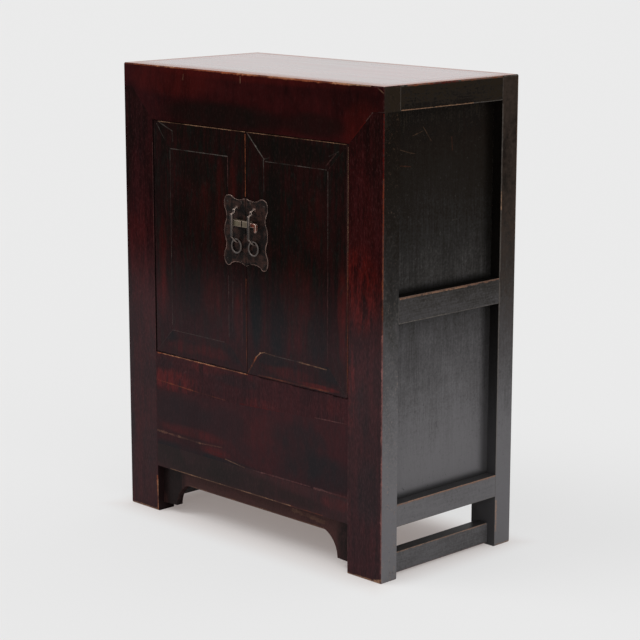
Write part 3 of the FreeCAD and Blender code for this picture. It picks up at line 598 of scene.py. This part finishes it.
def lacquer_with_painted_reflection(finish, node, red, low_down, brown, grainy):
    """The red under a painted grey reflection of the floor, with smoke, dark places and a fine grain."""
    cloud, smear, fine = finish.cloud, finish.smear, finish.fine
    # Painted reflection of the pale floor: grey added to the red low down and towards the left.
    painted_reflection = low_down + finish.x.ramp(-0.15, -0.33) * 0.35
    painted_reflection = painted_reflection + (finish.streak - 0.5) * 0.5 * grainy + (cloud - 0.5) * 0.3
    body = finish.blend(painted_reflection.held(), red, FLOOR_REFLECTION_GREY, way="ADD")
    shadow = finish.blend(low_down, GREEN_BLACK, DUSKY_BROWN if brown else SLATE)
    smoke = (smear * 0.6 + cloud * 0.5).ramp(0.56, 0.72) * (low_down * 0.45 + 0.1)
    body = finish.blend(smoke, body, shadow)
    for middle, reach, strength in SHADES.get(node, ()):
        patchy = (smear * 0.7 + finish.mottle * 0.3 + cloud * 0.3).ramp(0.35, 0.75)
        shade = finish.oval(middle, reach) * patchy
        body = finish.blend(shade * strength, body, shadow)
    body = finish.blend((fine - 0.46).held() * (0.3 + grainy * 0.9), body, GREEN_BLACK)
    body = finish.blend((0.46 - fine).held() * (0.1 + grainy * 0.12), body, WORN_PINK)
    return finish.blend(finish.speckle.ramp(0.7, 0.78) * 0.08, body, WORN_GREY)


def lay_flanks(finish, body):
    """The posts' outer flanks wear the side's lacquer, and their hidden flanks are darkened."""
    z, face, speckle, ragged = finish.z, finish.face, finish.speckle, finish.ragged
    outside, inside = HIGH.x - 2 * MM, HIGH.x - 6 * MM
    flank = abs(face[0]).ramp(0.7, 0.9) * abs(finish.x).ramp(inside, outside)
    flecked = (speckle - 0.5) * 0.3 + (ragged - 0.5) * 0.2 + (finish.smear - 0.5) * 0.25
    # The outer flanks take the side colour, with the painted floor reflection grey low down.
    colour = finish.side_colour_and_reflection(flecked)
    end_grain = z.ramp(TOP_RAIL_UNDERSIDE - 1 * MM, TOP_RAIL_UNDERSIDE + 1 * MM)
    colour = finish.blend(end_grain * 0.15, colour, END_GRAIN)
    colour = finish.blend(ragged.ramp(0.56, 0.72) * 0.35, colour, SOOT_AND_SHADE)
    flecks = speckle.ramp(0.55, 0.75) * ragged.ramp(0.42, 0.6)
    colour = finish.blend(flecks * (z.ramp(0.5, 0.1) * 0.3 + 0.1), colour, WORN_TAN)
    body = finish.blend(flank, body, colour)
    # The hidden inner flanks are darkened towards a dusky brown.
    hidden = face[1].ramp(-0.7, -0.4) * abs(finish.x).ramp(outside, inside) * abs(face[2]).ramp(0.9, 0.7)
    return finish.blend(hidden * 0.85, body, DUSKY_BROWN), flank


def finish_front(node, seed, dark=0.0, brown=0.0, grey=0.0, grainy=0.5):
    """Deep red lacquer with a painted grey reflection of the floor low down, with its glows, dark places
    and worn lines.
    """
    finish = Finish(f"{node}_lacquer")
    finish.across = finish.x / MM
    finish.cloud = finish.noise(7.0, (1, 1, 1), 3.0, detail=3.0, roughness=0.6, warp=0.5)
    finish.smear = finish.noise(22.0, (1, 1, 0.5), seed, detail=4.0, roughness=0.6, warp=0.5)
    finish.mottle = finish.noise(80.0, (1, 1, 0.3), seed + 1, detail=4.0, roughness=0.7, warp=0.5)
    finish.streak = finish.noise(130.0, (1, 1, 0.07), seed + 2, detail=4.0, roughness=0.65)
    finish.fine = finish.noise(420.0, (1, 1, 0.3), seed + 4, detail=2.0, roughness=0.6)
    finish.ragged = finish.noise(110.0, (1, 1, 1), seed + 6, detail=4.0, roughness=0.7)
    finish.speckle = finish.noise(240.0, (1, 1, 1), seed + 8, detail=3.0, roughness=0.7)

    low_down = finish.z.ramp(REFLECTION_START, REFLECTION_FULL)
    red = red_lacquer(finish, node, dark, brown, grainy)
    body = lacquer_with_painted_reflection(finish, node, red, low_down, brown, grainy)
    body, flank = lay_flanks(finish, body)

    edge = finish.arris() * (finish.ragged * 0.8 + finish.cloud * 0.6).ramp(0.55, 0.85)
    colour = finish.blend(edge * 0.12, body, WORN_PINK)
    fading = finish.noise(22.0, (1, 1, 1), seed + 10, detail=2.0).ramp(0.36, 0.58) * 0.75 + 0.25
    patchy = finish.face[1].ramp(-0.3, -0.6) * (finish.speckle * 2 - 0.35).held() * fading
    colour, worn = finish.lay_wear(colour, edge * 0.3, FRONT_WEAR.get(node, ()), patchy)
    colour, inward = finish.lay_bare_wood(colour)

    posts = abs(finish.x).ramp(POST_INNER_SIDE - 2 * MM, POST_INNER_SIDE + 4 * MM)
    sheen = low_down * (posts * 0.12 + 0.12 + grey * 0.12) + flank * finish.z.ramp(0.6, 0.2) * 0.25
    gloss = (sheen + 0.02) * (1.0 - worn) * (1.0 - inward)
    height = finish.fine * 0.3 + finish.streak * 0.4 + finish.ragged * 0.3 - worn * 0.6
    return finish.shade(
        Base_Color=colour,
        Roughness=(finish.smear * 0.25 + 0.35 + worn * 0.3).least(0.9),
        Specular_IOR_Level=0.0,
        Coat_Weight=gloss.held(),
        Coat_Roughness=0.3,
        Normal=finish.bump(height, 0.0005, 0.35),
    )


# Lines worn into the side's lacquer, as for the front, but measured back from the front's face.
SIDE_WEAR = {
    "top_rail": (
        (WORN_ORANGE, 0.7, 1.8, (56.5, 838.8), (116.5, 838.8)),
        (GLOWING_RED, 0.9, 2.2, (111.5, 838.5), (176.5, 838.5)),
        (WORN_ORANGE, 0.5, 1.6, (186.5, 838.5), (290.5, 838.5)),
        (WORN_TAN, 0.6, 1.1, (41.5, 798.8), (216.5, 798.8)),
        (WORN_GREY, 0.5, 0.9, (216.5, 798.8), (291.5, 798.8)),
        (WORN_GREY, 0.35, 0.9, (38.5, 836), (38.5, 800)),
    ),
    "middle_rail": (
        (WORN_UMBER, 0.9, 2.4, (40.5, 488), (291.5, 488)),
        (WORN_TAN, 0.5, 1.0, (40.5, 486), (200, 486)),
        (WORN_GREY, 0.7, 1.1, (40.5, 445), (156.5, 445)),
        (WORN_GREY, 0.4, 0.9, (156.5, 445), (291.5, 445)),
    ),
    "bottom_rail": (
        (WORN_UMBER, 0.85, 2.2, (40.5, 132), (291.5, 132)),
        (WORN_TAN, 0.6, 1.2, (66.5, 132.6), (291.5, 132.6)),
        (WORN_GREY, 0.5, 1.0, (40.5, 94), (291.5, 94)),
    ),
    "stretcher": (
        (WORN_TAN, 0.6, 1.4, (46.5, 40.2), (286.5, 40.2)),
        (WORN_PINK, 0.5, 1.2, (46.5, 4.6), (286.5, 4.6)),
    ),
    "upper_side_panel": (
        (WORN_TAN, 0.13, 0.8, (60.5, 731), (84.5, 724)),
        (WORN_TAN, 0.1, 0.8, (84.5, 724), (96.5, 722)),
        (WORN_TAN, 0.13, 0.8, (115.5, 765), (124.5, 754)),
        (WORN_TAN, 0.1, 0.8, (124.5, 754), (135.5, 740)),
        (WORN_TAN, 0.12, 0.8, (90.5, 752), (115.5, 758)),
        (WORN_ORANGE, 0.12, 1.2, (56.5, 705), (86.5, 701)),
        (WORN_GREY, 0.3, 0.8, (190.5, 600), (202.5, 600.5)),
        (WORN_ORANGE, 0.12, 1.0, (186.5, 742), (188.5, 720)),
        (WORN_GREY, 0.45, 1.0, (39.5, 796), (39.5, 640)),
    ),
    "lower_side_panel": (
        (WORN_GREY, 0.5, 1.0, (39.5, 440), (39.5, 140)),
        (SOOT_AND_SHADE, 0.5, 1.3, (72.5, 150), (76.5, 147)),
        (SOOT_AND_SHADE, 0.4, 2.0, (156.5, 250), (157.5, 244)),
    ),
    "rear_post": (
        (WORN_GREY, 0.55, 1.3, (293.5, 790), (293.5, 500)),
        (WORN_TAN, 0.5, 1.4, (293.5, 640), (293.5, 610)),
        (WORN_GREY, 0.5, 1.4, (293.5, 480), (293.5, 140)),
        (WORN_TAN, 0.6, 2.6, (294.5, 84), (294.5, 30)),
        (WORN_TAN, 0.45, 1.8, (332.5, 836), (332.5, 560)),
        (WORN_GREY, 0.6, 1.8, (332.5, 560), (332.5, 20)),
        (WORN_TAN, 0.5, 2.2, (296.5, 2), (332.5, 2)),
    ),
}


def shaded_recess(finish, node, body):
    """Painted shade: the recess walls, their inner corners and the ledges are darkened, and the panels
    darken near the rear post and just above their rails.
    """
    below_top = finish.z.ramp(HIGH.z - 5 * MM, HIGH.z - 10 * MM)
    before_back = finish.y.ramp(HIGH.y - 1 * MM, HIGH.y - 15 * MM)
    turned = abs(finish.face[1]).ramp(0.7, 0.9) * before_back
    ledge = abs(finish.face[2]).ramp(0.7, 0.9)
    dark = turned.most(ledge) * below_top * (finish.z.ramp(0.0, 0.5) * 0.3 + 0.6)
    if "panel" in node:
        ledge_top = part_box("right_middle_rail" if "upper" in node else "right_bottom_rail")[1][2]
        corner = (REAR_POST_FRONT - CASE_FRONT) / MM
        dark = dark.most(finish.across.ramp(corner - 28, corner - 8) * 0.6)
        dark = dark.most(finish.z.ramp(ledge_top + 16 * MM, ledge_top + 1 * MM) * 0.8)
    # Painted shade: the dark share is laid on as near black.
    return finish.blend(dark, body, SOOT_AND_SHADE)


def finish_side(node, along, seed, wear, lift=0.0, light=0.0):
    """Near black lacquer above, grey below where the floor's reflection is painted in, with worn arrises
    and painted shade in the recesses.
    """
    finish = Finish(f"{node}_lacquer")
    z = finish.z
    finish.across = (finish.y - CASE_FRONT) / MM
    cloud = finish.noise(6.0, (1, 1, 1), 5.0, detail=4.0, roughness=0.6, warp=0.4)
    smear = finish.noise(24.0, SMEAR[along], seed, detail=4.0, roughness=0.6)
    streak = finish.streak = finish.noise(85.0, GRAIN[along], seed + 2, detail=4.0, roughness=0.65)
    fine = finish.noise(340.0, GRAIN[along], seed + 4, detail=2.0, roughness=0.6)
    ragged = finish.ragged = finish.noise(110.0, (1, 1, 1), seed + 6, detail=4.0, roughness=0.7)
    speckle = finish.noise(240.0, (1, 1, 1), seed + 8, detail=3.0, roughness=0.7)
    scuffed = (1, 0.12, 1) if along == "z" else (1, 1, 0.2)
    scuffs = finish.noise(70.0, scuffed, seed + 9, detail=4.0, roughness=0.7)

    unsteady = (streak - 0.5) * 0.08 + (smear - 0.5) * 0.16 + (cloud - 0.5) * 0.14 + (scuffs - 0.5) * 0.1
    # The side colour, grey low down where the pale floor's reflection is painted in.
    body = finish.side_colour_and_reflection(unsteady + (fine - 0.5) * 0.2 + (speckle - 0.5) * 0.3 + lift)
    body = finish.blend((streak.ramp(0.55, 0.75) * z.ramp(0.3, 0.6)) * 0.25, body, BROWN_BLACK)
    lightened = (smear * 0.6 + ragged * 0.6).ramp(0.35, 0.75) * z.ramp(0.25, 0.6) * light
    body = finish.blend(lightened, body, END_GRAIN)
    body = finish.blend(speckle.ramp(0.66, 0.76) * 0.25, body, WORN_GREY)
    body = finish.blend(speckle.ramp(0.34, 0.26) * 0.5, body, SOOT_AND_SHADE)
    body = shaded_recess(finish, node, body)

    edge = finish.arris() * (ragged * 0.8 + cloud * 0.6).ramp(0.5, 0.8)
    colour = finish.blend(edge * 0.5, body, WORN_GREY)
    patchy = abs(finish.face[0]).ramp(0.3, 0.6) * (speckle * 2 - 0.35).held()
    colour, worn = finish.lay_wear(colour, edge * 0.6, SIDE_WEAR.get(wear, ()), patchy)
    colour, inward = finish.lay_bare_wood(colour)

    gloss = (z.ramp(0.6, 0.15) * 0.4 + 0.05) * (1.0 - worn) * (1.0 - inward)
    height = fine * 0.4 + streak * 0.5 + ragged * 0.35 - worn * 0.6
    return finish.shade(
        Base_Color=colour,
        Roughness=(streak * 0.25 + 0.4 + worn * 0.25).least(0.9),
        Specular_IOR_Level=0.0,
        Coat_Weight=gloss.held(),
        Coat_Roughness=0.35,
        Normal=finish.bump(height, 0.0008, 0.5),
    )


def finish_polished_top():
    """The top: reddish brown lacquer with a full gloss, worn at its edges."""
    finish = Finish("polished_top")
    streak = finish.noise(60.0, GRAIN["x"], 71.0, detail=4.0, roughness=0.6)
    cloud = finish.noise(4.0, (1, 1, 1), 72.0, detail=4.0, roughness=0.6)
    ragged = finish.noise(70.0, (1, 1, 1), 73.0, detail=4.0, roughness=0.7)
    body = finish.blend((cloud * 0.7 + streak * 0.3).ramp(0.35, 0.65), TOP_BROWN, TOP_RED)
    beside = (HIGH.x - abs(finish.x)).least(HIGH.y - finish.y)
    reach = (beside * 1.5).least(finish.y - CASE_FRONT)
    worn = (reach / MM - ragged * 14 + 5).ramp(2.0, 0.0)
    dulled = (reach / MM - ragged * 30 + 8).ramp(38.0, 0.0)
    colour = finish.blend(dulled * 0.8, body, WORN_ORANGE)
    colour = finish.blend(worn * 0.5, colour, WORN_TAN)
    return finish.shade(
        Base_Color=colour,
        Roughness=streak * 0.15 + 0.22,
        Specular_IOR_Level=0.8,
        Coat_Weight=1.0 - dulled * 0.85,
        Coat_Roughness=0.22,
        Coat_IOR=1.8,
        Normal=finish.bump(streak * 0.5 + cloud + ragged * 0.2, 0.0006, 0.35),
    )


def finish_bare_wood(node, along, seed):
    """Bare aged wood inside the case: pale grain, a little grime."""
    finish = Finish(f"{node}_wood")
    broad = finish.noise(22.0, SMEAR[along], seed, detail=4.0, roughness=0.6)
    grain = finish.noise(190.0, GRAIN[along], seed + 2, detail=3.0, roughness=0.6)
    cloud = finish.noise(5.0, (1, 1, 1), seed, detail=4.0)
    colour = finish.blend(broad.ramp(0.3, 0.7), BARE_WOOD_DARK, BARE_WOOD)
    colour = finish.blend(grain.ramp(0.5, 0.75) * 0.5, colour, BARE_WOOD_DARK)
    colour = finish.blend(cloud.ramp(0.5, 0.75) * 0.4, colour, DUSTY_BROWN)
    return finish.shade(
        Base_Color=colour,
        Roughness=grain * 0.2 + 0.65,
        Specular_IOR_Level=0.25,
        Normal=finish.bump(grain * 0.7 + broad * 0.4, 0.0006, 0.5),
    )


def finish_iron(
    name, base, seed, brown=0.5, rust=0.0, rubbed_and_highlit=0.5, rough=0.32, stained=IRON_BROWN, gloss=0.1,
):
    """Hand forged iron: brown black, pitted, and bright on its edges, partly rubbed and partly a painted
    highlight.
    """
    finish = Finish(name)
    pits = finish.noise(520.0, (1, 1, 1), seed, detail=4.0, roughness=0.65)
    stain = finish.noise(90.0, (1, 1, 1), seed + 2, detail=4.0, roughness=0.6)
    hammer = finish.noise(190.0, (1, 1, 1), seed + 4, detail=2.0)
    colour = finish.blend(stain.ramp(0.4, 0.65) * brown, base, stained)
    colour = finish.blend(pits.ramp(0.56, 0.7) * 0.5, colour, IRON_DARK)
    if rust:
        colour = finish.blend(stain.ramp(0.35, 0.6) * rust, colour, RUST)
    # Painted highlight and rubbed wear: the edges are painted near white, stronger towards the top.
    edge = finish.arris() * rubbed_and_highlit * (stain + 0.35).held() * abs(finish.x).ramp(1.2 * MM, 2.4 * MM)
    edge = (edge * (finish.z.ramp(HIGHLIGHT_FROM, HIGHLIGHT_TO) * 0.8 + 0.6)).held()
    colour = finish.blend(edge, colour, IRON_RUBBED_AND_HIGHLIT)
    return finish.shade(
        Base_Color=colour,
        Metallic=(edge * 0.6 + 0.2).held(),
        Roughness=(pits * 0.3 + rough - edge * 0.15).least(0.8),
        Specular_IOR_Level=gloss,
        Normal=finish.bump(pits * 0.5 + hammer * 0.6, 0.0003, 0.5),
    )


def merged_copy_of(node):
    """A clean copy of a CAD node's mesh: doubles merged and flat faces made whole."""
    shape = bmesh.new()
    shape.from_mesh(frame["nodes"][node].data)
    bmesh.ops.remove_doubles(shape, verts=shape.verts, dist=DOUBLES)
    bmesh.ops.dissolve_limit(shape, angle_limit=FLAT, verts=shape.verts, edges=shape.edges)
    return shape


def is_flush_joint(edge):
    """Whether an edge lies in the front's face where two of its flush pieces meet."""
    middle = (edge.verts[0].co + edge.verts[1].co) / 2
    left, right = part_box("left_hinge_stile")[0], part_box("right_hinge_stile")[1]
    width, height = abs(middle.x), middle.z
    outside = width > HIGH.x - MM or height > HIGH.z - MM or height < CASE_UNDERSIDE + MM
    reach = 2 * MM
    opening = width < right[0] + reach and left[2] - reach < height < right[2] + reach
    return abs(middle.y - CASE_FRONT) < 0.2 * MM and not outside and not opening


def soften(shape, width, segments=2, flush=False):
    """Round the outward corners of a shape. Flush joints in the front's face stay sharp."""
    corners = [
        edge for edge in shape.edges
        if len(edge.link_faces) == 2 and edge.is_convex and edge.calc_face_angle(0) > SHARP
        and not (flush and is_flush_joint(edge))
    ]
    bmesh.ops.bevel(
        shape, geom=corners, offset=width, offset_type="OFFSET", segments=segments, profile=0.5,
        affect="EDGES", material=-1, clamp_overlap=True,
    )


def place(shape, name, body, materials, smooth=False, replaced=()):
    """Make the finished piece of this shape, and let it ride with its body."""
    mesh = bpy.data.meshes.new(name)
    if smooth:
        for edge in shape.edges:
            edge.smooth = len(edge.link_faces) == 2 and edge.calc_face_angle(0) < SOFT
        for face in shape.faces:
            face.smooth = True
    shape.to_mesh(mesh)
    shape.free()
    for material in materials:
        mesh.materials.append(material)
    piece = bpy.data.objects.new(name, mesh)
    bpy.context.scene.collection.objects.link(piece)
    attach(piece, body)
    if replaced:
        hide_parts(*replaced)
    return piece


def dress(node, material, width=0.7 * MM, top=None):
    """Stand a worn, soft edged copy in for a wooden node. Its face in the top takes the top's finish."""
    shape = merged_copy_of(node)
    soften(shape, width, 3 if node.startswith("rear") else 2, flush=node.startswith("front"))
    if top:
        for face in shape.faces:
            if face.normal.z > 0.9 and face.calc_center_median().z > HIGH.z - 0.2 * MM:
                face.material_index = 1
    body = body_of(frame["nodes"][node])[0]
    materials = [material, top] if top else [material]
    piece = place(shape, f"{node}_worn", body, materials, replaced=(node,))


def dress_front(top):
    """The red lacquered front: posts, rails, board and apron."""
    for node, seed, dark, brown, grey, grainy, width in (
        ("front_left_post", 11.0, 0.0, 0.0, 0.0, 1.5, 0.5),
        ("front_right_post", 12.0, 0.0, 0.0, 0.0, 1.7, 0.5),
        ("front_top_rail", 13.0, 0.0, 0.0, 0.0, 0.15, 0.3),
        ("front_sill_rail", 14.0, 0.0, 0.0, 0.0, 1.3, 0.2),
        ("front_lower_panel", 15.0, 0.2, 0.0, 0.1, 0.3, 0.2),
        ("front_bottom_rail", 16.0, 0.35, 0.05, 0.8, 0.6, 0.3),
        ("front_apron", 17.0, 0.0, 0.45, 0.2, 0.8, 0.5),
    ):
        rail_top = top if node == "front_top_rail" else None
        dress(node, finish_front(node, seed, dark, brown, grey, grainy), width * MM, rail_top)


def dress_doors():
    """The two doors, darker than the case."""
    for number, side in enumerate(("left", "right")):
        for offset, part in enumerate(
            ("hinge_stile", "meeting_stile", "door_top_rail", "door_bottom_rail", "door_panel")
        ):
            node = f"{side}_{part}"
            seed = 21.0 + 10 * number + offset
            dress(node, finish_front(node, seed, dark=0.9 + 0.1 * number), 0.3 * MM)
        batten = f"{side}_door_batten"
        dress(batten, finish_bare_wood(batten, "x", 27.0 + number))


def dress_sides(top):
    """The dark sides and back."""
    for number, side in enumerate(("left", "right")):
        for offset, (part, along, lift, light) in enumerate((
            ("top_rail", "y", 0.0, 0.0),
            ("middle_rail", "y", 0.0, 0.15),
            ("bottom_rail", "y", -0.14, 0.0),
            ("stretcher", "y", -0.33, 0.2),
            ("upper_side_panel", "z", 0.02, 0.0),
            ("lower_side_panel", "z", 0.0, 0.0),
        )):
            node = f"{side}_{part}"
            seed = 41.0 + 10 * number + offset
            finish = finish_side(node, along, seed, part, lift, light)
            dress(node, finish, 0.8 * MM, top if part == "top_rail" else None)
    for offset, (node, along, wear, light) in enumerate((
        ("rear_left_post", "z", "rear_post", 1.0),
        ("rear_right_post", "z", "rear_post", 1.0),
        ("rear_top_rail", "x", None, 0.0),
        ("rear_middle_rail", "x", None, 0.1),
        ("rear_bottom_rail", "x", None, 0.1),
        ("rear_upper_panel", "z", None, 0.0),
        ("rear_lower_panel", "z", None, 0.0),
    )):
        finish = finish_side(node, along, 61.0 + offset, wear, 0.0, light)
        dress(node, finish, 0.8 * MM, None if "panel" in node else top)
    dress("top_panel", top, 0.3 * MM)


def dress_inside():
    """The bare boards inside."""
    for offset, (node, along) in enumerate((
        ("shelf_front_board", "x"),
        ("shelf_rear_board", "x"),
        ("floor_front_board", "x"),
        ("floor_rear_board", "x"),
        ("compartment_lid", "x"),
        ("compartment_front_board", "x"),
        ("compartment_rear_board", "x"),
        ("floor_bearers", "y"),
        ("top_battens", "y"),
    )):
        dress(node, finish_bare_wood(node, along, 81.0 + offset))


def forge(node, materials, width, rim=0.0):
    """Stand a rounded copy in for an iron node. A rim round the plate's front face takes its own lighter
    finish: worn, and a painted highlight on the plate's edge.
    """
    shape = merged_copy_of(node)
    if rim:
        faces = [
            face for face in shape.faces
            if face.normal.y < -0.9 and face.calc_center_median().y < PLATE_FACE + 0.1 * MM
        ]
        inset = bmesh.ops.inset_region(shape, faces=faces, thickness=rim, use_even_offset=True)
        for face in inset["faces"]:
            face.material_index = int(abs(face.calc_center_median().x) > 2 * MM)
    soften(shape, width, 3)
    body = body_of(frame["nodes"][node])[0]
    piece = place(shape, f"{node}_forged", body, materials, smooth=True, replaced=(node,))


def dress_ironwork():
    """The lock plate, staples, keepers, rings and pin."""
    stained = {"stained": IRON_STAINED}
    shiny = {"stained": IRON, "brown": 0.4, "rough": 0.2}
    plate = finish_iron("plate_iron", IRON_DARK, 3.0, brown=0.9, rubbed_and_highlit=0.4, gloss=0.04, **stained)
    # The rim: worn iron, with a painted highlight where the plate's edge catches the light.
    rim = finish_iron("plate_rim_iron", IRON_STAINED, 4.0, brown=1.0, rubbed_and_highlit=0.7, stained=IRON_PINK)
    bar = finish_iron("staple_iron", IRON_DARK, 5.0, rubbed_and_highlit=0.7, gloss=0.2, **shiny)
    ring = finish_iron("ring_iron", IRON_DARK, 9.0, rubbed_and_highlit=0.2, gloss=0.5, **shiny)
    khaki = finish_iron("keeper_iron", IRON_KHAKI, 6.0, brown=0.3, rubbed_and_highlit=0.4)
    rusty = finish_iron("pin_iron", IRON_BROWN, 7.0, rust=0.8, rubbed_and_highlit=0.9)
    dark = finish_iron("nail_iron", IRON_DARK, 8.0, rubbed_and_highlit=0.05, gloss=0.05, **stained)
    for side in ("left", "right"):
        forge(f"{side}_lock_plate", (plate, rim), 0.4 * MM, rim=1.4 * MM)
        forge(f"{side}_staple", (bar,), 0.5 * MM)
        forge(f"{side}_pin_keeper", (khaki,), 0.7 * MM)
        for node, material in ((f"{side}_plate_nails", dark), (f"{side}_ring", ring)):
            materials = frame["nodes"][node].data.materials
            materials.clear()
            materials.append(material)
    forge("lock_pin", (rusty,), 0.8 * MM)


# The share of the floor's look that comes from its own glow, under the case and beside it.
GLOW_UNDER, GLOW_BESIDE = 0.32, 0.75
FLOOR_REACH = 60.0


def lay_floor():
    """A wide pale floor that keeps the cabinet's shadow."""
    shape = bmesh.new()
    bmesh.ops.create_grid(shape, x_segments=1, y_segments=1, size=FLOOR_REACH)
    bmesh.ops.translate(shape, verts=shape.verts, vec=(0, 0, LOW.z))
    mesh = bpy.data.meshes.new("pale_floor")
    shape.to_mesh(mesh)
    shape.free()
    floor = bpy.data.objects.new("pale_floor", mesh)
    bpy.context.scene.collection.objects.link(floor)
    finish = Finish("floor_paper")
    paper = finish.node("ShaderNodeBsdfDiffuse", inputs={"Color": linear(PALE_PAPER)})
    beside = (abs(finish.x) - HIGH.x).most(abs(finish.y) - HIGH.y).ramp(-0.06, 0.05)
    tint = finish.blend(beside, WARM_SHADE, PALE_PAPER)
    glow = finish.node("ShaderNodeEmission", inputs={"Color": tint})
    share = beside * (GLOW_BESIDE - GLOW_UNDER) + GLOW_UNDER
    seen = finish.node("ShaderNodeLightPath", out="Is Camera Ray") * share
    both = finish.node("ShaderNodeMixShader", inputs={0: seen, 1: paper, 2: glow})
    finish.node("ShaderNodeOutputMaterial", inputs={"Surface": both})
    mesh.materials.append(finish.material)


# Each lamp's turn from the front and its height in degrees, its strength, and its width in degrees.
LAMPS = (
    ("key", -40, 55, 1.1, 35),
    ("fill", 65, 35, 0.55, 50),
    ("back", 170, 60, 0.35, 60),
)


def light_scene():
    """Soft light from all around, a broad key from the front left and a fill from the right."""
    world = bpy.data.worlds.new("studio")
    bpy.context.scene.world = world
    world.use_nodes = True
    studio = Wiring(world.node_tree)
    camera, glossy, through = (
        studio.node("ShaderNodeLightPath", out=f"Is {kind} Ray")
        for kind in ("Camera", "Glossy", "Transmission")
    )
    colour = studio.blend(camera.most(glossy).most(through), STUDIO_GREY, PALE_PAPER)
    background = studio.node("ShaderNodeBackground", inputs={"Color": colour})
    studio.node("ShaderNodeOutputWorld", inputs={"Surface": background})
    for name, azimuth, elevation, strength, spread in LAMPS:
        lamp = bpy.data.lights.new(name, "SUN")
        lamp.energy = strength
        lamp.angle = math.radians(spread)
        holder = bpy.data.objects.new(name, lamp)
        bpy.context.scene.collection.objects.link(holder)
        turn, rise = math.radians(azimuth), math.radians(elevation)
        level = math.cos(rise)
        towards = Vector((math.sin(turn) * level, -math.cos(turn) * level, math.sin(rise)))
        holder.rotation_euler = towards.to_track_quat("Z", "Y").to_euler()


# The camera's lens in millimetres, its place in metres, and its turn, dip and tilt in degrees.
LENS, SENSOR = 113.814, 36
CAMERA_PLACE = (2.588, -2.5048, 1.1488)
CAMERA_TURN, CAMERA_DIP, CAMERA_TILT = (math.radians(angle) for angle in (45.695, 11.996, 0.032))


def set_camera():
    """The photograph's viewpoint, found from the cabinet's corners in it."""
    camera = bpy.data.cameras.new("photograph")
    camera.sensor_width = SENSOR
    camera.lens = LENS
    holder = bpy.data.objects.new("photograph", camera)
    bpy.context.scene.collection.objects.link(holder)
    aim = Matrix.Rotation(CAMERA_TURN, 4, "Z") @ Matrix.Rotation(math.pi / 2 - CAMERA_DIP, 4, "X")
    tilt = Matrix.Rotation(CAMERA_TILT, 4, "Z")
    holder.matrix_world = Matrix.Translation(CAMERA_PLACE) @ aim @ tilt
    bpy.context.scene.camera = holder


set_camera()
polished_top = finish_polished_top()
dress_front(polished_top)
dress_doors()
dress_sides(polished_top)
dress_inside()
dress_ironwork()
lay_floor()
light_scene()
bpy.context.scene.view_settings.view_transform = "Standard"
